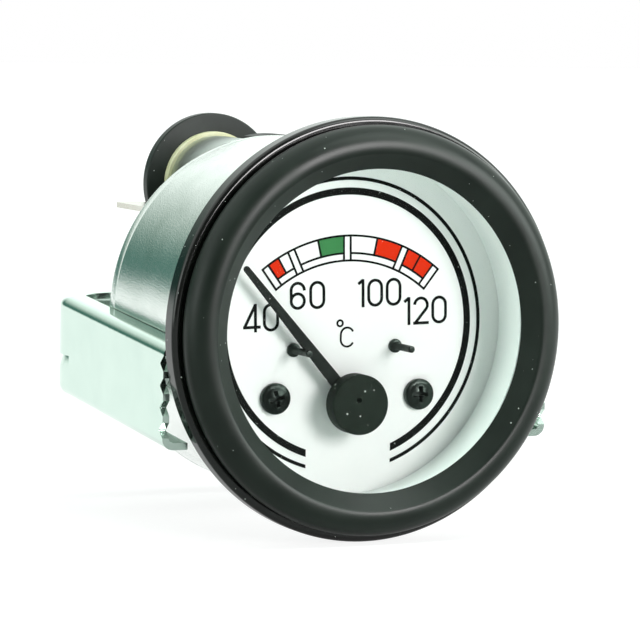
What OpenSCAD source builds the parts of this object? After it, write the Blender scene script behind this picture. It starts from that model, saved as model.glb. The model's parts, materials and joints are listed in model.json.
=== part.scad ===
// Panel temperature gauge, 52 mm hole size, with a U-shaped clamp bracket and a push-in lamp.
// Millimetres. The gauge's axis is Y: the dial faces -Y, and the panel's front face is y = 0.
// +X is to the right and +Z is up, as seen from the front. The origin is on the axis.

/* [Case] */
// Outer diameter of the barrel that goes through the panel
case_d = 51.8; // [50:0.1:54]
// Length of the barrel behind the panel's front face
case_len = 32.3; // [31:0.1:38]
// Sheet thickness of the case
case_wall = 0.6; // [0.5:0.1:0.9]
// Outer radius where the barrel turns into its floor
case_edge_r = 1.2; // [1.1:0.05:1.3]
// How far the case's front lip stands out of the barrel
case_lip_w = 1.5; // [1.2:0.1:2]

/* [Bezel] */
// Outer diameter of the clamp ring that bears on the panel
ring_d = 60; // [59.4:0.2:64]
// Depth of the clamp ring in front of the panel
ring_depth = 3; // [2.4:0.1:3.2]
// Thickness of the clamp ring's inner lip
ring_lip_t = 1; // [0.8:0.1:1.2]
// Rounding of the clamp ring's front corner
ring_edge_r = 0.7; // [0.3:0.1:0.8]
// Rounding of the clamp ring's rear corner
ring_rear_r = 0.3; // [0.1:0.1:0.5]
// Width of the groove between the clamp ring and the bezel
groove_w = 0.7; // [0.5:0.1:0.9]
// Outer diameter of the bezel's front ring
front_d = 57.8; // [57.4:0.1:58.4]
// Diameter of the bezel's crest
crest_d = 51.7; // [51:0.1:52.6]
// Distance of the crest in front of the panel
crest_y = 7.2; // [7.1:0.1:8.5]
// Diameter of the bezel's opening
opening_d = 45.5; // [44:0.1:47]
// Distance of the opening's edge in front of the panel
opening_y = 5; // [4.7:0.1:6]
// Wall of the bezel's rear skirt
skirt_wall = 0.7; // [0.6:0.05:0.8]

/* [Glass and dial] */
// Thickness of the glass
glass_t = 2; // [1.6:0.1:2.1]
// Distance of the glass's rear face in front of the panel
glass_back = 2; // [1.8:0.1:2.2]
// Thickness of the seal's flange over the glass
seal_t = 0.3; // [0.2:0.05:0.4]
// Wall of the seal round the glass's edge
seal_wall = 0.6; // [0.5:0.05:0.9]
// Distance of the dial's face behind the panel's front
dial_y = 4.9; // [4:0.1:5.5]
// Thickness of the dial plate
dial_t = 0.8; // [0.5:0.1:1]
// Thickness of the white spacer ring
spacer_wall = 1; // [0.7:0.1:1.5]
// Thickness of the printed ink
print_t = 0.06; // [0.04:0.01:0.1]
// Middle radius of the dial's thick printed ring
thick_ring_r = 19.13; // [18.6:0.05:19.6]
// Line width of the thick printed ring
thick_ring_w = 1.02; // [0.6:0.02:1.2]
// Middle radius of the dial's thin printed ring
thin_ring_r = 20.95; // [20.4:0.05:21.6]
// Line width of the thin printed ring
thin_ring_w = 0.5; // [0.3:0.02:0.8]
// Width of the gap at the bottom of both rings
ring_gap_w = 13.3; // [10:0.1:16]
// Offset of that gap to the right
ring_gap_x = 0.55; // [-1:0.05:1]

/* [Scale] */
// Outer radius of the printed scale
scale_r = 22; // [21.6:0.05:22.4]
// Radius of the line under the coloured zones
scale_base_r = 19.5; // [19.2:0.05:19.8]
// Inner radius of the scale
scale_in_r = 18.45; // [18:0.05:18.7]
// Centre of the printed scale, across
scale_x = 0.3; // [-0.6:0.02:0.6]
// Centre of the printed scale, above the pointer's axis
scale_up = 1.65; // [1.2:0.05:2.1]
// Width of the scale's printed lines
scale_line_w = 0.3; // [0.15:0.01:0.35]
// Distance between the two lines of a boxed tick
tick_w = 1.06; // [0.7:0.02:1.2]
// Height of the printed numbers, on the stroke's middle line
digit_h = 3.6; // [3:0.05:3.8]
// Stroke of the printed numbers
digit_stroke = 0.42; // [0.2:0.01:0.5]

/* [Pointer] */
// Height of the pointer's axis, which is below the dial's centre
axis_z = -10.85; // [-11.1:0.05:-10.5]
// Length of the needle from the axis to its tip
needle_len = 26; // [22:0.1:26.4]
// Width of the needle at the hub
needle_root_w = 2; // [1.2:0.1:2.2]
// Width of the needle at its tip
needle_tip_w = 0.9; // [0.4:0.1:1]
// Thickness of the needle
needle_t = 0.4; // [0.2:0.1:0.6]
// Distance of the needle's front face in front of the dial
needle_lift = 2.65; // [2.2:0.05:2.8]
// Angle of the needle at rest, to the left of straight up
needle_rest = 41; // [40.6:0.1:41.4]
// Diameter of the hub
hub_d = 8.6; // [7:0.1:9.6]
// Thickness of the hub in front of the needle
hub_t = 2.6; // [1.8:0.1:2.8]
// Diameter of the spindle
spindle_d = 1; // [0.8:0.1:1.2]
// Half distance between the stop pins
stop_x = 7.98; // [7.9:0.01:8.1]
// Height of the stop pins above the pointer's axis
stop_up = 7.63; // [7.6:0.01:7.7]
// Diameter of a stop pin
stop_d = 1; // [0.7:0.05:1]
// Length of a stop pin in front of the dial
stop_len = 5.7; // [4:0.1:5.8]
// Half distance between the dial's screws
screw_x = 11.29; // [11.1:0.05:11.4]
// Diameter of a dial screw's head
screw_head_d = 4.5; // [3.6:0.1:4.8]
// Height of a dial screw's head
screw_head_h = 1.3; // [1:0.1:1.6]
// Diameter of a dial screw's thread
screw_d = 2.2; // [1.6:0.1:2.4]

/* [Movement] */
// Thickness of the plate behind the dial
plate_t = 1.6; // [1.2:0.1:1.7]
// Outer radius of the round screening can
shield_r = 13.9; // [13.8:0.05:14.2]
// Sheet thickness of the screening can
shield_wall = 0.5; // [0.3:0.05:0.55]
// Side of the square bobbin
bobbin_w = 16; // [15:0.2:16.4]
// Length of the bobbin along the axis
bobbin_len = 11; // [10:0.2:11.4]
// Wall between the rotor's chamber and the bobbin's ends
bobbin_wall = 2; // [1.6:0.1:2.4]
// Diameter of the rotor magnet
rotor_d = 10.4; // [9:0.2:11]
// Length of the rotor magnet
rotor_len = 5.8; // [4:0.2:6]
// Thickness of one winding
coil_t = 1.2; // [0.8:0.1:1.2]
// Width of one half of a winding
coil_w = 3.2; // [2.4:0.1:3.4]
// Clear way between a winding's halves, where the spindle passes
coil_gap = 2.8; // [2.2:0.1:3]
// Outer diameter of the two bearings
bearing_d = 2.6; // [2:0.1:2.7]
// Thickness of the circuit board
board_t = 1.6; // [1:0.1:1.6]
// Diameter of the resistor on the board
resistor_d = 3.2; // [2:0.1:3.4]
// Length of the resistor
resistor_len = 9; // [6:0.5:11]
// Diameter of the pillars between dial and case floor
pillar_d = 4; // [3:0.1:4.6]

/* [Terminals] */
// Diameter of the moulded terminal plate
terminal_d = 29; // [27:0.5:29.4]
// Thickness of the terminal plate
terminal_t = 3.7; // [2.5:0.1:4.5]
// Centre of the terminal plate, across
terminal_x = 0.5; // [-0.5:0.1:1]
// Centre of the terminal plate, up
terminal_z = 11.5; // [11:0.1:11.8]
// Width of a push-on blade
blade_w = 6.3; // [4.8:0.1:6.3]
// Thickness of a push-on blade
blade_t = 0.8; // [0.5:0.05:0.9]
// Length of a blade behind the terminal plate
blade_len = 8.5; // [7:0.1:9]
// Distance between the two blades
blade_pitch = 6; // [5.5:0.1:6.5]
// Width of the earth blade
earth_w = 4.8; // [4.6:0.1:4.8]
// Length of the earth blade behind the case
earth_len = 12.7; // [12:0.1:17]

/* [Bracket] */
// Overall width of the bracket
bracket_w = 59.8; // [59.6:0.1:63]
// Sheet thickness of the bracket
bracket_t = 1; // [0.8:0.1:1.2]
// Height of the bracket's channel
bracket_h = 14.65; // [13:0.05:16]
// Width of the channel's flanges
flange_w = 3.8; // [3:0.1:3.8]
// Outer radius of the channel's long bends
bend_r = 1.6; // [1.3:0.1:2]
// Outer radius of the bracket's rear corners
corner_r = 10; // [8:0.1:12]
// Distance of the bracket's rear face from the panel's front face
bracket_len = 49.3; // [48:0.1:52]
// Height of the channel's top edge at the rear
bracket_top = 1.6; // [1:0.1:2]
// Drop of the channel's top edge from the rear corner to the feet
bracket_drop = 3.3; // [0:0.1:3.5]
// Gap between the teeth and the clamp ring when the bracket is home
foot_gap = 0.5; // [0.3:0.05:0.6]
// Depth of the teeth
tooth_depth = 1.2; // [0.6:0.1:1.6]
// Distance between two teeth
tooth_pitch = 3.1; // [2.8:0.05:3.3]
// Depth of the dart pressed into each rear corner
dart_depth = 0.5; // [0.3:0.05:0.6]
// Height of the dart
dart_h = 2.3; // [1.6:0.1:3]
// How far the dart runs past the corner into the leg and the bridge
dart_reach = 2; // [1:0.1:3]

/* [Studs and nuts] */
// Thread diameter of the studs
stud_d = 4; // [3.5:0.1:4.2]
// Half distance between the studs
stud_x = 13; // [12:0.1:14]
// Distance of the studs' ends from the panel's front face
stud_end = 60; // [59.9:0.1:64]
// Width across flats of the nuts
nut_af = 7; // [6.4:0.1:7.5]
// Height of a bracket nut
nut_h = 3.2; // [2.4:0.1:3.3]
// Height of the thin nuts on the case
thin_nut_h = 2.2; // [1.6:0.1:2.6]
// Outer diameter of the washers
washer_d = 8.6; // [8:0.1:9]
// Thickness of the washers
washer_t = 0.8; // [0.5:0.05:0.9]

/* [Lamp] */
// Centre of the lamp holder, across
lamp_x = -4.65; // [-5.2:0.05:-4.4]
// Centre of the lamp holder, up
lamp_z = 18.1; // [17.8:0.05:18.6]
// Diameter of the holder's neck
neck_d = 14.4; // [13:0.1:14.6]
// Diameter of the spigot in the case's floor
spigot_d = 9; // [8.6:0.1:9.2]
// Length of the spigot inside the case
spigot_len = 5.7; // [4:0.1:7]
// Distance of the cap's front from the panel's front face
cap_y = 44; // [42:0.1:46]
// Diameter of the cap
cap_d = 21.1; // [20:0.1:21.4]
// Thickness of the cap
cap_t = 1.9; // [1.5:0.1:3]
// Diameter of the pale collar in front of the cap
collar_d = 15.6; // [15:0.1:16.4]
// Thickness of the pale collar
collar_t = 1; // [0.6:0.1:1.8]
// Diameter of the bulb's metal base
bulb_d = 7; // [6:0.1:7.2]
// Length of the bulb's metal base
bulb_base_len = 12; // [10:0.5:12.5]
// Length of the bulb's glass in front of its base
bulb_glass_len = 8; // [6:0.5:9]
// Length of the lamp's blade behind the cap
lamp_blade_len = 7.5; // [6:0.5:9]

/* [Fits] */
// Gap between pieces that are pressed or laid together
seat_gap = 0.05; // [0.03:0.01:0.08]
// Radial running clearance of shafts and threads
run_gap = 0.06; // [0.03:0.01:0.09]
// Gap between pieces that pass each other
pass_gap = 0.3; // [0.2:0.05:0.4]

/* [Hidden] */
$fn = 96;

// the least step between two faces that would otherwise nearly meet
hair = 0.03;

case_r = case_d / 2;
case_in = case_r - case_wall;
lip_r = case_r + case_lip_w;
lip_back = -ring_lip_t;
lip_front = lip_back - case_wall;
floor_in = case_len - case_wall;
skirt_in = lip_r + seat_gap;
skirt_out = skirt_in + skirt_wall;
ring_r = ring_d / 2;
front_r = front_d / 2;
crest_r = crest_d / 2;
opening_r = opening_d / 2;
shoulder_r = min(front_r - crest_r, crest_y - ring_depth - groove_w - hair);
// the opening's sharp lip is cut away behind
lip_undercut = 0.45;
seal_in = opening_r + lip_undercut + 2 * seat_gap;
seal_r = skirt_in - seat_gap;
glass_r = seal_r - seal_wall - seat_gap;
glass_front = -glass_back - glass_t;
seal_front = glass_front - seal_t;
spacer_r = case_in - 2 * seat_gap;
spacer_in = spacer_r - spacer_wall;
dial_back = dial_y + dial_t;
plate_back = dial_back + plate_t;

// the needle, its hub and the stop pins
needle_front = dial_y - needle_lift;
needle_back = needle_front + needle_t;
hub_front = needle_front - hub_t;
spindle_r = spindle_d / 2;
hub_bore_depth = hub_t / 2;
hub_mark_r = 0.4;
hub_mark_depth = 0.4;
hub_mark_x = -0.29;
hub_mark_up = 0.67;
hub_boss_r = 1.2;
hub_boss_len = 1;
hub_edge_r = 0.25;
needle_eye_wall = 1;
// the stop pins and screws stand a little off the dial's middle line, and the right pin higher
stop_mid = -0.37;
stop_lift = 0.12;
stop_collar_r = stop_d;
stop_collar_h = 0.6;
screw_up = 0.69;
screw_mid = 0.17;
screw_z = axis_z + screw_up;
dome_share = 0.8;
screw_hole_r = screw_d / 2 + 2 * seat_gap;
recess_w = 0.6;
recess_len = 2.3;
recess_depth = 0.8;

// the movement, from the plate to the circuit board
boss_r = 1.8;
boss_len = 2.2;
screw_end = plate_back + boss_len - seat_gap;
cross_out = 2 * coil_t + seat_gap;
coil_room = 0.2;
bobbin_front_y = plate_back + coil_room + cross_out;
bobbin_mid = bobbin_front_y + bobbin_len / 2;
bobbin_back_y = bobbin_front_y + bobbin_len;
chamber_r = rotor_d / 2 + 2 * pass_gap;
rotor_front = bobbin_mid - rotor_len / 2;
spindle_short = 0.7;
spindle_end = bobbin_back_y - spindle_short;
shaft_hole_gap = 0.8;
shaft_hole_r = spindle_r + shaft_hole_gap;
shield_room = 1.2;
shield_back = bobbin_back_y + cross_out + shield_room;
board_front = shield_back;
board_back = board_front + board_t;
board_gap = 0.8;
board_r = case_in - board_gap;
lamp_room = 3;
board_top = lamp_z - spigot_d / 2 - lamp_room;
lead_r = 0.35;
lead_out = 2;
resistor_up = 1.3;
pillar_x = 20.5;
pillar_z = 2;

// what stands on the case's floor
blade_off_x = 7.5;
blade_off_z = 4;
blade_x = terminal_x + blade_off_x;
blade_z = terminal_z - blade_off_z;
boss_wall = 1;
boss_end = 2;
boss_in = 0.6;
boss_lap = 0.5;
neck_gap = 0.5;
terminal_boss_w = blade_pitch + blade_t + 2 * boss_end;
terminal_boss_h = blade_w + 2 * boss_wall;
earth_x = lamp_x - cap_d / 2 - earth_w / 2;
earth_drop = 3.2;
earth_z = lamp_z - earth_drop;
earth_foot = 4.4;
rivet_r = 0.9;
rivet_head_r = 1.5;
rivet_head_h = 0.8;
rivet_off = 0.2;
rivet_z = earth_z - earth_foot / 2 - rivet_off;
latch_r = 0.8;
latch_from_tip = 2.5;
stud_r = stud_d / 2;
stud_z = bracket_top - bracket_h / 2;
stud_head_r = 4;
stud_head_h = 1.5;

// the bracket: its legs slope by this angle towards the feet
corner_y = bracket_len - corner_r;
slope = atan(bracket_drop / (corner_y - foot_gap));
nut_front = bracket_len + washer_t + seat_gap;
nut_r = nut_af / 2 / cos(30);
first_tooth = 2.6;
tooth_count = 4;
tooth_half = 1.08;
dart_z = -6.6;
// the legs' faces stand this much inside the corners' faces
leg_step = 0.06;

neck_r = neck_d / 2;
spigot_r = spigot_d / 2;
cap_r = cap_d / 2;
collar_front = cap_y - collar_t;
neck_front = case_len + seat_gap;
spigot_front = floor_in - spigot_len;
bulb_r = bulb_d / 2;
bulb_bore_r = bulb_r + 2 * seat_gap;
lamp_bore_wall = 1.5;
lamp_bore_end = collar_front - lamp_bore_wall;
contact_len = 3.7;
contact_r = 0.6 * bulb_r;
base_back = lamp_bore_end - contact_len;
base_front = base_back - bulb_base_len;
bulb_glass_step = 0.1;
bulb_glass_r = bulb_r - bulb_glass_step;

// the scale: angles of the boxed ticks and of the zones' edges, from straight up
tick_angles = [-36.75, -24.85, -1.37, 23.2, 38];
zone_edges = [-30.63, -13.41, 11.1, 30.3];
scale_z = axis_z + scale_up;
// a digit's width and the steps to the next one, as shares of its height
digit_aspect = 0.57;
digit_pitch = 0.81;
wide_pitch = 0.845;
one_pitch = 0.66;
// each number rises a little to the right
number_tilt = 1.5;
// tools reach this much past what they cut, and rays this far
over = 5;
far = 60;

// Turns a (radius, y) outline round the gauge's axis.
module turned() {
    rotate([-90, 0, 0]) rotate_extrude(angle = 360) children();
}

// A round bar along Y from y0 to y1, at (x, z).
module rod(r, y0, y1, x = 0, z = 0) {
    translate([x, y0, z]) rotate([-90, 0, 0]) cylinder(r = r, h = y1 - y0);
}

// A flat shape in X and Z, from y0 to y1.
module slab(y0, y1) {
    translate([0, y1, 0]) rotate([90, 0, 0]) linear_extrude(height = y1 - y0) children();
}

// A block given by its lowest and highest corners.
module block(lo, hi) {
    translate(lo) cube(hi - lo);
}

// A flat ring.
module ring2d(r_out, r_in) {
    difference() {
        circle(r = r_out);
        circle(r = r_in);
    }
}

// The points of an arc about c, in steps of so many degrees at most.
function arc_points(c, r, a0, a1, step = 15) =
    let (n = ceil(abs(a1 - a0) / step))
    [for (i = [0 : n]) c + r * [cos(a0 + (a1 - a0) * i / n), sin(a0 + (a1 - a0) * i / n)]];

// The points of a path, each moved sideways by d.
function beside(path, d) =
    let (last = len(path) - 1)
    [for (i = [0 : last])
        let (t = path[min(i + 1, last)] - path[max(i - 1, 0)])
        path[i] + d / norm(t) * [-t[1], t[0]]];

function turned_round(list) = [for (i = [len(list) - 1 : -1 : 0]) list[i]];

// A stroke of width w along a path.
module stroke(path, w) {
    polygon(concat(beside(path, w / 2), turned_round(beside(path, -w / 2))));
}

// The outline of a tall loop with half-round ends, about the origin.
function tall_points(w, h) =
    concat(arc_points([0, (h - w) / 2], w / 2, 0, 180), arc_points([0, (w - h) / 2], w / 2, 180, 360));

// A flat shape as a layer of ink on the dial.
module ink() {
    slab(dial_y - print_t, dial_y) children();
}

// One printed digit, h high. s is its stroke.
module digit(n, h, s) {
    w = digit_aspect * h;
    r = w / 2;
    if (n == 0) ink() translate([r, h / 2]) difference() {
        polygon(tall_points(w + s, h + s));
        polygon(tall_points(w - s, h - s));
    }
    if (n == 1) {
        stem = 0.72 * w;
        ink() stroke([[stem, -s / 2], [stem, h + s / 2]], s);
        ink() stroke([[stem, h + s * 0.2], [stem - w * 0.36, h * 0.87]], s);
    }
    if (n == 2) {
        ink() stroke(concat(arc_points([r, h - r], r, 175, -25), [[s * 0.3, s * 0.1]]), s);
        ink() stroke([[-s / 2, 0], [w + s / 2, 0]], s);
    }
    if (n == 4) {
        stem = 0.82 * w;
        bar = 0.14 * h;
        ink() stroke([[stem, -s / 2], [stem, h + s / 2]], s);
        ink() stroke([[stem, h + s * 0.2], [0, bar]], s);
        ink() stroke([[-s / 2, bar], [1.2 * w, bar]], s);
    }
    if (n == 6) {
        bowl = [r, 1.04 * r];
        ink() difference() {
            polygon(arc_points(bowl, r + s / 2, 0, 345));
            polygon(arc_points(bowl, r - s / 2, 0, 345));
        }
        ink() stroke(concat([[s * 0.05, r]], arc_points([r, h - r], r, 180, -2)), s);
    }
}

// The step from one digit to the next.
function step_after(n) =
    digit_h * (n == 1 ? one_pitch : n == 4 || n == 6 ? wide_pitch : digit_pitch);

// Where the digit number i of a row starts.
function digit_start(digits, i) =
    i == 0 ? 0 : digit_start(digits, i - 1) + step_after(digits[i - 1]);

// A row of digits. Its lower left corner is at (x, z).
module number(digits, x, z) {
    translate([x, 0, z]) rotate([0, -number_tilt, 0])
        for (i = [0 : len(digits) - 1])
            translate([digit_start(digits, i), 0, 0]) digit(digits[i], digit_h, digit_stroke);
}

// The unit mark, a small ring and a round letter.
module unit_mark() {
    unit_w = 0.28;
    bow_r = 1;
    upper = [0.06, -1.33];
    lower = [0.06, -2.06];
    ink() translate([-1.09, 0.3]) ring2d(0.57, 0.57 - unit_w);
    ink() stroke(concat(arc_points(upper, bow_r, 25, 180), arc_points(lower, bow_r, 180, 335)), unit_w);
}

// The strip of width w along a ray of the scale's centre, moved sideways by off.
module ray2d(a, off, w) {
    translate([scale_x, scale_z]) rotate(-a) translate([off - w / 2, 0]) square([w, far]);
}

// The sector between the rays a0 and a1 of the scale's centre, with each edge moved sideways.
module zone2d(a0, a1, off0, off1) {
    p0 = [cos(a0), -sin(a0)] * off0;
    p1 = [cos(a1), -sin(a1)] * off1;
    translate([scale_x, scale_z])
        polygon([p0, p0 + far * [sin(a0), cos(a0)], p1 + far * [sin(a1), cos(a1)], p1]);
}

// The band between two radii about the printed scale's own centre, in short straight edges.
module band2d(r_out, r_in) {
    c = [scale_x, scale_z];
    polygon(concat(arc_points(c, r_out, 45, 135, 2.5), turned_round(arc_points(c, r_in, 45, 135, 2.5))));
}

// One coloured zone between two rays, inside the scale's lines.
module zone_fill(a0, a1, off0, off1) {
    ink() intersection() {
        band2d(scale_r - scale_line_w / 2, scale_base_r + scale_line_w / 2);
        zone2d(a0, a1, off0, off1);
    }
}

// A piece of an arc of the scale, from one ray to another.
module scale_arc(r, a0, a1, off0, off1) {
    ink() intersection() {
        band2d(r + scale_line_w / 2, r - scale_line_w / 2);
        zone2d(a0, a1, off0, off1);
    }
}

// A line of the scale along a ray, between two radii.
module scale_ray(a, off, r_out, r_in) {
    ink() intersection() {
        band2d(r_out, r_in);
        ray2d(a, off, scale_line_w);
    }
}

module scale_lines() {
    half = tick_w / 2;
    edge = half + scale_line_w / 2;
    last = len(tick_angles) - 1;
    for (r = [scale_r, scale_in_r]) scale_arc(r, tick_angles[0], tick_angles[last], -edge, edge);
    // the base line of the zones, broken by the boxed ticks
    for (i = [0 : last - 1]) scale_arc(scale_base_r, tick_angles[i], tick_angles[i + 1], half, -half);
    for (a = tick_angles, side = [-1, 1]) scale_ray(a, side * half, scale_r, scale_in_r);
    for (a = zone_edges) scale_ray(a, 0, scale_r, scale_base_r);
}

module dial_rings() {
    difference() {
        union() {
            ring2d(thick_ring_r + thick_ring_w / 2, thick_ring_r - thick_ring_w / 2);
            ring2d(thin_ring_r + thin_ring_w / 2, thin_ring_r - thin_ring_w / 2);
        }
        translate([ring_gap_x - ring_gap_w / 2, -case_r]) square([ring_gap_w, case_r]);
    }
}

// Where a dial screw and a stop pin stand, on the left with side -1 and on the right with side 1.
function screw_place(side) = side * screw_x + screw_mid;
function stop_place(side) = side * stop_x + stop_mid;
function stop_height(side) = axis_z + stop_up + side * stop_lift;

// The case and what holds the glass
module case_can() {
    color("silver") difference() {
        turned() union() {
            difference() {
                case_outline(case_r, case_len, case_edge_r);
                case_outline(case_in, floor_in, case_edge_r - case_wall);
            }
            translate([case_in, lip_front]) square([lip_r - case_in, case_wall]);
        }
        // the lamp's hole
        rod(spigot_r + run_gap, floor_in - 1, case_len + 1, lamp_x, lamp_z);
        for (side = [-1, 1]) rod(stud_r + seat_gap, floor_in - 1, case_len + 1, side * stud_x, stud_z);
        rod(rivet_r + seat_gap, floor_in - 1, case_len + 1, earth_x, rivet_z);
        slab(floor_in - 1, case_len + 1) translate([blade_x, blade_z])
            square([terminal_boss_w + 2 * seat_gap, terminal_boss_h + 2 * seat_gap], center = true);
    }
}

// Half outline of a cup with a rounded bottom edge, from the lip's front to its floor.
module case_outline(r, len_y, edge) {
    translate([0, lip_front]) square([r - edge, len_y - lip_front]);
    translate([0, lip_front]) square([r, len_y - lip_front - edge]);
    translate([r - edge, len_y - edge]) intersection() {
        circle(r = edge);
        square(edge);
    }
}

module clamp_ring() {
    color("#1b1c1b") turned() difference() {
        union() {
            translate([case_r + 2 * seat_gap, -ring_depth])
                square([ring_r - ring_edge_r - case_r - 2 * seat_gap, ring_depth]);
            translate([case_r + 2 * seat_gap, -ring_depth + ring_edge_r])
                square([ring_r - case_r - 2 * seat_gap, ring_depth - ring_edge_r - ring_rear_r]);
            translate([ring_r - ring_edge_r, -ring_depth + ring_edge_r]) circle(r = ring_edge_r);
            translate([ring_r - ring_rear_r, -ring_rear_r]) circle(r = ring_rear_r);
        }
        translate([0, -ring_depth - 1]) square([skirt_out + seat_gap, ring_depth + 1 - ring_lip_t]);
    }
}

module bezel() {
    back = -ring_depth - groove_w;
    shoulder_y = shoulder_r - crest_y;
    shoulder_x = front_r - shoulder_r;
    // a flat crest, where the front ring is wider than its shoulder's round
    crest = shoulder_x - crest_r > hair ? [[crest_r, -crest_y]] : [];
    color("#262726") turned() difference() {
        union() {
            intersection() {
                translate([shoulder_x, shoulder_y]) circle(r = shoulder_r);
                translate([shoulder_x, -crest_y]) square(shoulder_r);
            }
            translate([shoulder_x, shoulder_y]) square([shoulder_r, back - shoulder_y]);
            polygon(concat([[opening_r, -opening_y]], crest, [[shoulder_x, -crest_y],
                [shoulder_x, back], [skirt_out, back], [skirt_out, lip_back - seat_gap],
                [opening_r + lip_undercut, lip_back - seat_gap], [opening_r + lip_undercut, seal_front]]));
        }
        translate([0, seal_front]) square([skirt_in, -seal_front]);
    }
}

module glass() {
    color([0.85, 0.93, 0.9, 0.3]) rod(glass_r, glass_front, -glass_back);
}

module glass_seal() {
    color("#141414") turned() {
        translate([seal_in, seal_front]) square([seal_r - seal_in, seal_t - seat_gap / 2]);
        translate([seal_r - seal_wall, seal_front]) square([seal_wall, lip_front - seal_front]);
    }
}

module spacer_ring() {
    color("#f4f5f2") turned()
        translate([spacer_in, -glass_back]) square([spacer_wall, glass_back + dial_y]);
}

// The dial and its print
module dial_plate() {
    color("#f7f8f5") difference() {
        rod(spacer_r, dial_y, dial_back);
        rod(shaft_hole_r, dial_y - 1, dial_back + 1, 0, axis_z);
        for (side = [-1, 1]) {
            rod(screw_hole_r, dial_y - 1, dial_back + 1, screw_place(side), screw_z);
            rod(stop_d / 2 + seat_gap, dial_y - 1, dial_back + 1, stop_place(side), stop_height(side));
        }
    }
}

module dial_print_black() {
    color("#151716") {
        ink() dial_rings();
        scale_lines();
        number([4, 0], -15.88, -0.53);
        number([6, 0], -8.76, 2.5);
        number([1, 0, 0], 1, 2.69);
        number([1, 2, 0], 8.35, -0.01);
        unit_mark();
    }
}

module dial_print_red() {
    in = tick_w / 2 + scale_line_w / 2;
    w = scale_line_w / 2;
    color("#ef4a24") {
        zone_fill(tick_angles[0], zone_edges[0], in, -w);
        zone_fill(zone_edges[2], tick_angles[3], w, -in);
        zone_fill(tick_angles[3], zone_edges[3], in, -w);
        zone_fill(zone_edges[3], tick_angles[4], w, -in);
    }
}

module dial_print_green() {
    in = tick_w / 2 + scale_line_w / 2;
    color("#3f9e5d") zone_fill(zone_edges[1], tick_angles[2], scale_line_w / 2, -in);
}

module dial_screws() {
    // the head is a shallow dome on a short rim
    dome_h = dome_share * screw_head_h;
    dome_r = (pow(screw_head_d / 2, 2) + pow(dome_h, 2)) / (2 * dome_h);
    color("#1d1f1e") for (side = [-1, 1]) translate([screw_place(side), 0, screw_z]) difference() {
        union() {
            intersection() {
                rod(screw_head_d / 2, dial_y - screw_head_h, dial_y);
                translate([0, dial_y - screw_head_h + dome_r, 0]) sphere(r = dome_r);
            }
            rod(screw_d / 2, dial_y, screw_end);
        }
        for (turn = [0, 90]) rotate([0, turn, 0])
            block([-recess_len / 2, dial_y - screw_head_h - 1, -recess_w / 2],
                [recess_len / 2, dial_y - screw_head_h + recess_depth, recess_w / 2]);
    }
}

module stop_pins() {
    color("#1d1f1e") for (side = [-1, 1]) translate([stop_place(side), 0, stop_height(side)]) {
        rod(stop_collar_r, dial_y - stop_collar_h, dial_y);
        rod(stop_d / 2, dial_y - stop_len + stop_d / 2, dial_back);
        translate([0, dial_y - stop_len + stop_d / 2, 0]) sphere(d = stop_d);
    }
}

// The movement
module movement_plate() {
    color("#e7e2d2") difference() {
        union() {
            rod(shield_r, dial_back, plate_back, 0, axis_z);
            for (side = [-1, 1])
                rod(boss_r, plate_back, plate_back + boss_len, screw_place(side), screw_z);
            // four feet that carry the bobbin by its corners
            for (sx = [-1, 1], sz = [-1, 1]) corner_post(sx, sz, plate_back, bobbin_front_y);
        }
        rod(shaft_hole_r, dial_back - 1, plate_back + 1, 0, axis_z);
        for (side = [-1, 1])
            rod(screw_d / 2 + seat_gap, dial_back - 1, plate_back + boss_len + 1, screw_place(side),
                screw_z);
    }
}

// One square post under a corner of the bobbin.
module corner_post(sx, sz, y0, y1) {
    post_in = coil_gap / 2 + coil_w + coil_room;
    post_out = bobbin_w / 2;
    block([min(sx * post_in, sx * post_out), y0, axis_z + min(sz * post_in, sz * post_out)],
        [max(sx * post_in, sx * post_out), y1, axis_z + max(sz * post_in, sz * post_out)]);
}

// Half of the bobbin, from y0 to y1, hollow towards the middle.
module bobbin_half(y0, y1, hole_r) {
    difference() {
        block([-bobbin_w / 2, y0, axis_z - bobbin_w / 2], [bobbin_w / 2, y1, axis_z + bobbin_w / 2]);
        rod(chamber_r, bobbin_front_y + bobbin_wall, bobbin_back_y - bobbin_wall, 0, axis_z);
        rod(hole_r, y0 - 1, y1 + 1, 0, axis_z);
    }
}

module bobbin_front() {
    color("#d9d3c0") bobbin_half(bobbin_front_y, bobbin_mid, bearing_d / 2 + seat_gap);
}

module bobbin_rear() {
    color("#d9d3c0") bobbin_half(bobbin_mid, bobbin_back_y, bearing_d / 2 + seat_gap);
}

// A flat four-sided winding: a closed frame with the inner half sizes a and b, of width w.
module winding(a, b, w) {
    difference() {
        cube([2 * (a + coil_t), 2 * (b + coil_t), w], center = true);
        cube([2 * a, 2 * b, w + 2], center = true);
    }
}

module coil_main() {
    a = bobbin_w / 2;
    b = bobbin_len / 2;
    color("#b5652b") for (side = [-1, 1])
        translate([side * (coil_gap + coil_w) / 2, bobbin_mid, axis_z])
            rotate([0, 90, 0]) winding(a, b, coil_w);
}

module coil_cross() {
    a = bobbin_w / 2;
    b = bobbin_len / 2 + coil_t + seat_gap / 2;
    color("#c4752f") for (side = [-1, 1])
        translate([0, bobbin_mid, axis_z + side * (coil_gap + coil_w) / 2]) winding(a, b, coil_w);
}

module bearing_front() {
    color("#c9a24a") difference() {
        rod(bearing_d / 2, bobbin_front_y, bobbin_front_y + bobbin_wall, 0, axis_z);
        rod(spindle_r + run_gap, bobbin_front_y - 1, bobbin_mid, 0, axis_z);
    }
}

module bearing_rear() {
    color("#c9a24a") difference() {
        rod(bearing_d / 2, bobbin_back_y - bobbin_wall, bobbin_back_y, 0, axis_z);
        rod(spindle_r + run_gap, bobbin_mid, spindle_end + run_gap, 0, axis_z);
    }
}

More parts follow.
